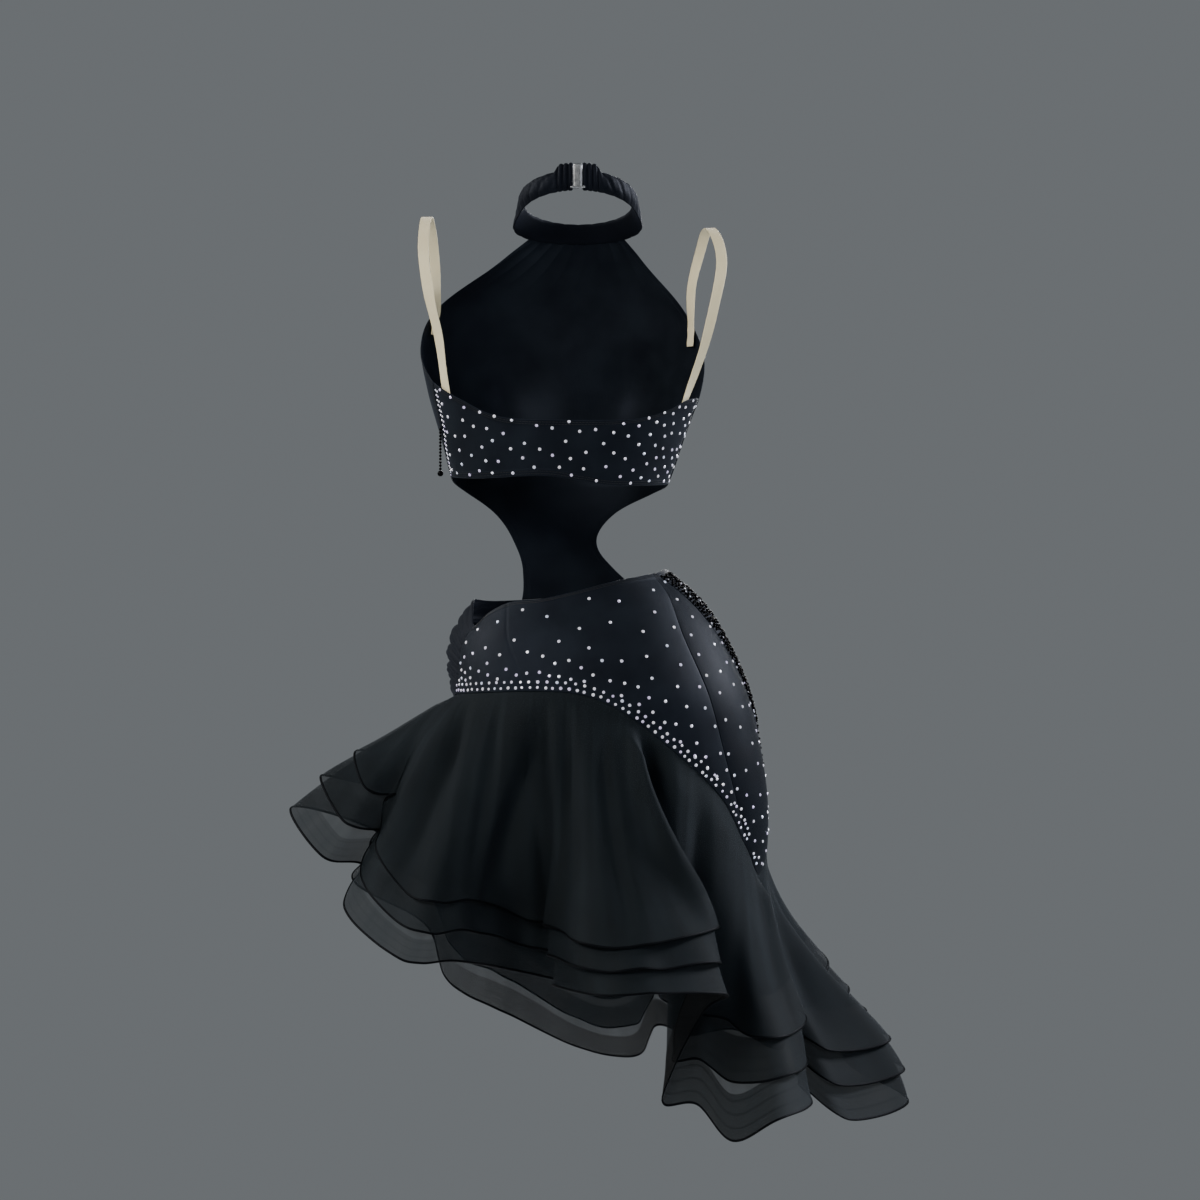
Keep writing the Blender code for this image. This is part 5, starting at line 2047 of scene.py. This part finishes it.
@dataclass
class Decoration:
    """Crystals and beads, laid out by how far each lies from the edges.

    yoke_gap is the least and the greatest, and yoke_gap_right is added to them on the right.
    In yoke_growth, yoke_bare and loose the second number is what the right adds. The gap
    grows from yoke_start, yoke_bare keeps stones off the rows, and loose lets rows stray.
    """

    finishes: Finishes
    bodice: Bodice
    yoke: Yoke
    stone: float = 3.7 * MM
    small_stone: float = 2.6 * MM
    tiny_stone: float = 2.1 * MM
    bead: float = 3.1 * MM
    band_gap: float = 14.5 * MM
    band_closer: float = 4.0 * MM
    band_row_pitch: float = 5.6 * MM
    yoke_gap: tuple = (9 * MM, 28 * MM)
    yoke_gap_right: tuple = (3 * MM, -5 * MM)
    yoke_growth: tuple = (0.30, -0.04)
    yoke_start: float = 12 * MM
    yoke_bare: tuple = (14 * MM, -5 * MM)
    yoke_hem_bare: float = 9 * MM
    yoke_seam_bare: float = 3.5 * MM
    loose: tuple = (0.6 * MM, 1.1 * MM)
    missing_share: float = 0.30
    stone_spread: tuple = (0.82, 1.05)
    bead_spread: tuple = (0.85, 1.1)
    hip_gap: float = 3.3 * MM
    bright_share: float = 0.12
    seam_from: float = 193.0
    seam_to: float = 367.0
    rows: tuple = ((3.4 * MM, 8.5 * MM, 350), (9.6 * MM, 9.8 * MM, 322))
    points: list = field(default_factory=list)
    facing: list = field(default_factory=list)
    sizes: list = field(default_factory=list)

    def add(self, panel: Panel, u: Array, v: Array, size: float) -> None:
        """Set stones on a panel."""
        self.points.append(panel.point(u, v, panel.wall))
        self.facing.append(panel.facing(u, v))
        self.sizes.append(np.full(len(u), size))

    @staticmethod
    def spread(panel: Panel, gap: Callable[[Array, Array, Array], Array], seed: int,
               tries: int = 5000) -> tuple[Array, Array]:
        """Scatter places over a panel, no closer than a gap that may vary.

        Args:
            panel: the cloth.
            gap: the least distance for given shares and points; 0 leaves a place out.
            seed: fixes the places.
            tries: candidates.

        Returns:
            Shares across and up.
        """
        dice = np.random.default_rng(seed)
        u, v = dice.uniform(0.01, 0.99, tries), dice.uniform(0.02, 0.98, tries)
        points = panel.point(u, v, panel.wall)
        needed = gap(u, v, points)
        kept: list = []
        for k in range(tries):
            if needed[k] <= 0:
                continue
            if kept:
                away = np.linalg.norm(points[kept] - points[k], axis=-1)
                if np.any(away < (needed[kept] + needed[k]) / 2):
                    continue
            kept.append(k)
        return u[kept], v[kept]

    def back_band(self) -> None:
        """Stones over the back band, and two close rows down its left seam."""
        panel = self.bodice.band

        def gap(u: Array, v: Array, points: Array) -> Array:
            """Closer together on the right of the back."""
            thick = bump(points[:, 0], 0.10, 0.035)
            low = panel.from_edge(Side.BOTTOM, u, v) < 3 * MM
            left = panel.from_edge(Side.LEFT, u, v) < 12 * MM
            return np.where(low | left, 0, self.band_gap - self.band_closer * thick)

        self.add(panel, *self.spread(panel, gap, 71), self.stone)
        for away, start in ((2.6 * MM, 0.0), (6.4 * MM, 0.03)):
            u, v, _, _ = panel.line(Side.LEFT, away, self.band_row_pitch, (start, 0.98))
            self.add(panel, u, v, self.small_stone)

    def yoke_stones(self) -> None:
        """Stones close together above the ruffle seam, fewer and fewer towards the waist."""
        turns = np.linspace(190, 375, 300)
        seam = FIGURE.surface(turns, ruffle_seam(turns))
        for panel, seed in ((self.yoke.back, 81), (self.yoke.side, 82)):
            def gap(u: Array, v: Array, points: Array, panel: Panel = panel) -> Array:
                """Wider with the distance from the seam, and bare at the panel's edges.

                Args:
                    u, v: shares across and up.
                    points: where they come to lie.
                    panel: the one being covered.

                Returns:
                    Least distance to the next stone, or 0 for none.
                """
                away = np.min(np.linalg.norm(points[:, None] - seam[None], axis=-1), axis=1)
                degrees = panel.read(u, v)[..., 0]
                right = ease(285, 315, degrees)
                left = bump(degrees, 200, 12)
                near, far = (plain + more * right for plain, more in zip(
                    self.yoke_gap, self.yoke_gap_right))
                growth = self.yoke_growth[0] + self.yoke_growth[1] * right
                spread = np.clip(near + growth * (away - self.yoke_start), near, far)
                free = away > self.yoke_bare[0] + self.yoke_bare[1] * right
                for side, clear in ((Side.TOP, self.yoke_hem_bare),
                                    (Side.LEFT, self.yoke_seam_bare),
                                    (Side.RIGHT, self.yoke_seam_bare)):
                    free &= panel.from_edge(side, u, v) > clear
                return np.where(free, spread * (1 - 0.4 * left), 0)

            self.add(panel, *self.spread(panel, gap, seed), self.stone)

    def seam_rows(self) -> None:
        """Rows that follow the ruffle seam and thin out on the right.

        Each row is its distance from the seam, its pitch and where it stops, in degrees.
        """
        turns = np.linspace(self.seam_from, self.seam_to, 900)
        line = FIGURE.surface(turns, ruffle_seam(turns))
        run = run_length(line)
        dice = np.random.default_rng(8)
        for away, pitch, last in self.rows:
            places = np.arange(dice.uniform(0.3, 0.9) * pitch, run[-1], pitch)
            loose = self.loose[0] + self.loose[1] * ease(
                290, 315, np.interp(places, run, turns))
            at = np.interp(places + dice.normal(0, 1, len(places)) * loose, run, turns)
            missing = self.missing_share * ease(300, 325, at)
            kept = (at < last) & (dice.uniform(size=len(at)) > missing)
            at, loose = at[kept], loose[kept]
            off = away + dice.uniform(-0.3, 1.2, len(at)) * loose
            height = ruffle_seam(at)
            step = 0.5
            before, here, beyond = (FIGURE.surface(at + k * step, ruffle_seam(at + k * step))
                                    for k in (-1, 0, 1))
            facing = FIGURE.normal(at, height)
            up = unit(np.cross(facing, beyond - before))
            sideways = (FIGURE.surface(at + step, height) - FIGURE.surface(at - step, height)
                        ) / (2 * step)
            upward = (FIGURE.surface(at, height + MM) - here) / MM
            basis = np.stack((sideways, upward), axis=-1)
            moved = (np.linalg.pinv(basis) @ (up * off[:, None])[..., None])[..., 0]
            degrees, height = at + moved[:, 0], height + moved[:, 1]
            self.points.append(FIGURE.point(degrees, height, self.yoke.back.wall + 0.7 * MM))
            self.facing.append(FIGURE.normal(degrees, height))
            self.sizes.append(dice.uniform(*self.stone_spread, len(degrees)) * self.stone)

    def hip_band(self) -> Piece:
        """Black beads packed over the band, with tiny crystals among them.

        Returns:
            The beads, as one piece.
        """
        panel = self.yoke.band

        def gap(u: Array, v: Array, points: Array) -> Array:
            """A bead's width, and bare along the inner edge low down."""
            bare = 0.03 + 0.45 * ease(0.555, 0.60, -points[:, 2])
            return np.where((u < bare) | (u > 0.93), 0, self.hip_gap)

        u, v = self.spread(panel, gap, 91, 9000)
        dice = np.random.default_rng(92)
        bright = dice.uniform(size=len(u)) < self.bright_share
        self.add(panel, u[bright], v[bright], self.tiny_stone)
        u, v = u[~bright], v[~bright]
        facing = panel.facing(u, v)
        size = dice.uniform(*self.bead_spread, len(u)) * self.bead
        points = panel.point(u, v, panel.wall) + facing * self.bead * 0.3
        return Scatter("hip_band_beads", Small.BEAD, self.finishes.glass, points, facing,
                       size).make()

    def make(self) -> None:
        """Set every stone and bead."""
        self.back_band()
        self.yoke_stones()
        self.seam_rows()
        beads = self.hip_band()
        seat(beads, "black beads")
        points = np.concatenate(self.points)
        stones = Scatter("rhinestones", Small.STONE, self.finishes.crystal, points,
                         np.concatenate(self.facing), np.concatenate(self.sizes),
                         tilt=0.10).make()
        seat(stones, "rhinestones")
        LOG.info("stones: %d", len(points))


# Studio

@dataclass
class Studio:
    """Camera, soft lights, a pale floor and plain surroundings."""

    eye: tuple = (0.0242, -4.0, -0.451)
    lens: float = 109.09
    floor: float = -1.5
    floor_radius: float = 2.2
    surroundings: str = "#6b6f72"
    aim: tuple = (0.03, 0.0, -0.5)
    lights: tuple = (("key", (-2.1, -3.1, 1.5), 1.5, 112, "#fffaf2"),
                     ("fill", (2.6, -2.6, 0.2), 1.8, 30, "#f2f6ff"),
                     ("edge right", (2.3, 0.8, 0.7), 1.0, 92, "#f4f7ff"),
                     ("edge left", (-2.5, 0.5, 0.9), 1.3, 45, "#ffffff"),
                     ("front", (0.6, 3.4, 0.6), 1.8, 60, "#ffffff"))

    def camera(self) -> None:
        """Look level at the back of the dress."""
        data = bpy.data.cameras.new("camera")
        data.lens = self.lens
        data.sensor_width = 36.0
        data.clip_end = 100
        camera = bpy.data.objects.new("camera", data)
        camera.location = self.eye
        camera.rotation_euler = (math.pi / 2, 0, 0)
        bpy.context.scene.collection.objects.link(camera)
        bpy.context.scene.camera = camera

    def light(self, name: str, place: Sequence[float], size: float, power: float,
              color: str) -> None:
        """A soft box that faces the middle of the dress.

        Args:
            name: the light.
            place: where it stands.
            size: of its side, in metres.
            power: in watts.
            color: its tone.
        """
        data = bpy.data.lights.new(name, "AREA")
        data.shape = "DISK"
        data.size = size
        data.energy = power
        data.color = linear(color)[:3]
        lamp = bpy.data.objects.new(name, data)
        lamp.location = place
        aim = Vector(self.aim) - lamp.location
        lamp.rotation_euler = aim.to_track_quat("-Z", "Y").to_euler()
        bpy.context.scene.collection.objects.link(lamp)

    def make(self) -> None:
        """Set up the studio."""
        self.camera()
        turns = np.linspace(0, 2 * np.pi, 96, endpoint=False)
        ring = np.stack((np.cos(turns) * self.floor_radius, np.sin(turns) * self.floor_radius,
                         np.full_like(turns, self.floor)), axis=-1)
        paint = StudioFloor("pale studio floor", "#c4c6c8", "#cfd1d2").make()
        floor = Cloth(ring, [tuple(range(len(ring)))]).piece("floor", paint, False)
        world = bpy.data.worlds.new("plain surroundings")
        world.use_nodes = True
        backdrop = world.node_tree.nodes["Background"]
        backdrop.inputs[0].default_value = linear(self.surroundings)
        backdrop.inputs[1].default_value = 1.0
        bpy.context.scene.world = world
        for light in self.lights:
            self.light(*light)


def main() -> None:
    """Build the dress piece by piece."""
    logging.basicConfig(level=logging.INFO, format="%(message)s")
    Studio().make()
    finishes = Finishes()
    stitches = Stitches()
    Collar(finishes).make()
    Clasp(finishes).make()
    bodice = Bodice(finishes, stitches)
    bodice.make()
    Straps(finishes).make()
    BeadStrand(finishes).make()
    yoke = Yoke(finishes, stitches)
    yoke.make()
    Ruffles(finishes).make()
    Decoration(finishes, bodice, yoke).make()
    seat(stitches.make("hem_stitches", finishes.thread), "black jersey")
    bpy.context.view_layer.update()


if __name__ == "__main__":
    main()
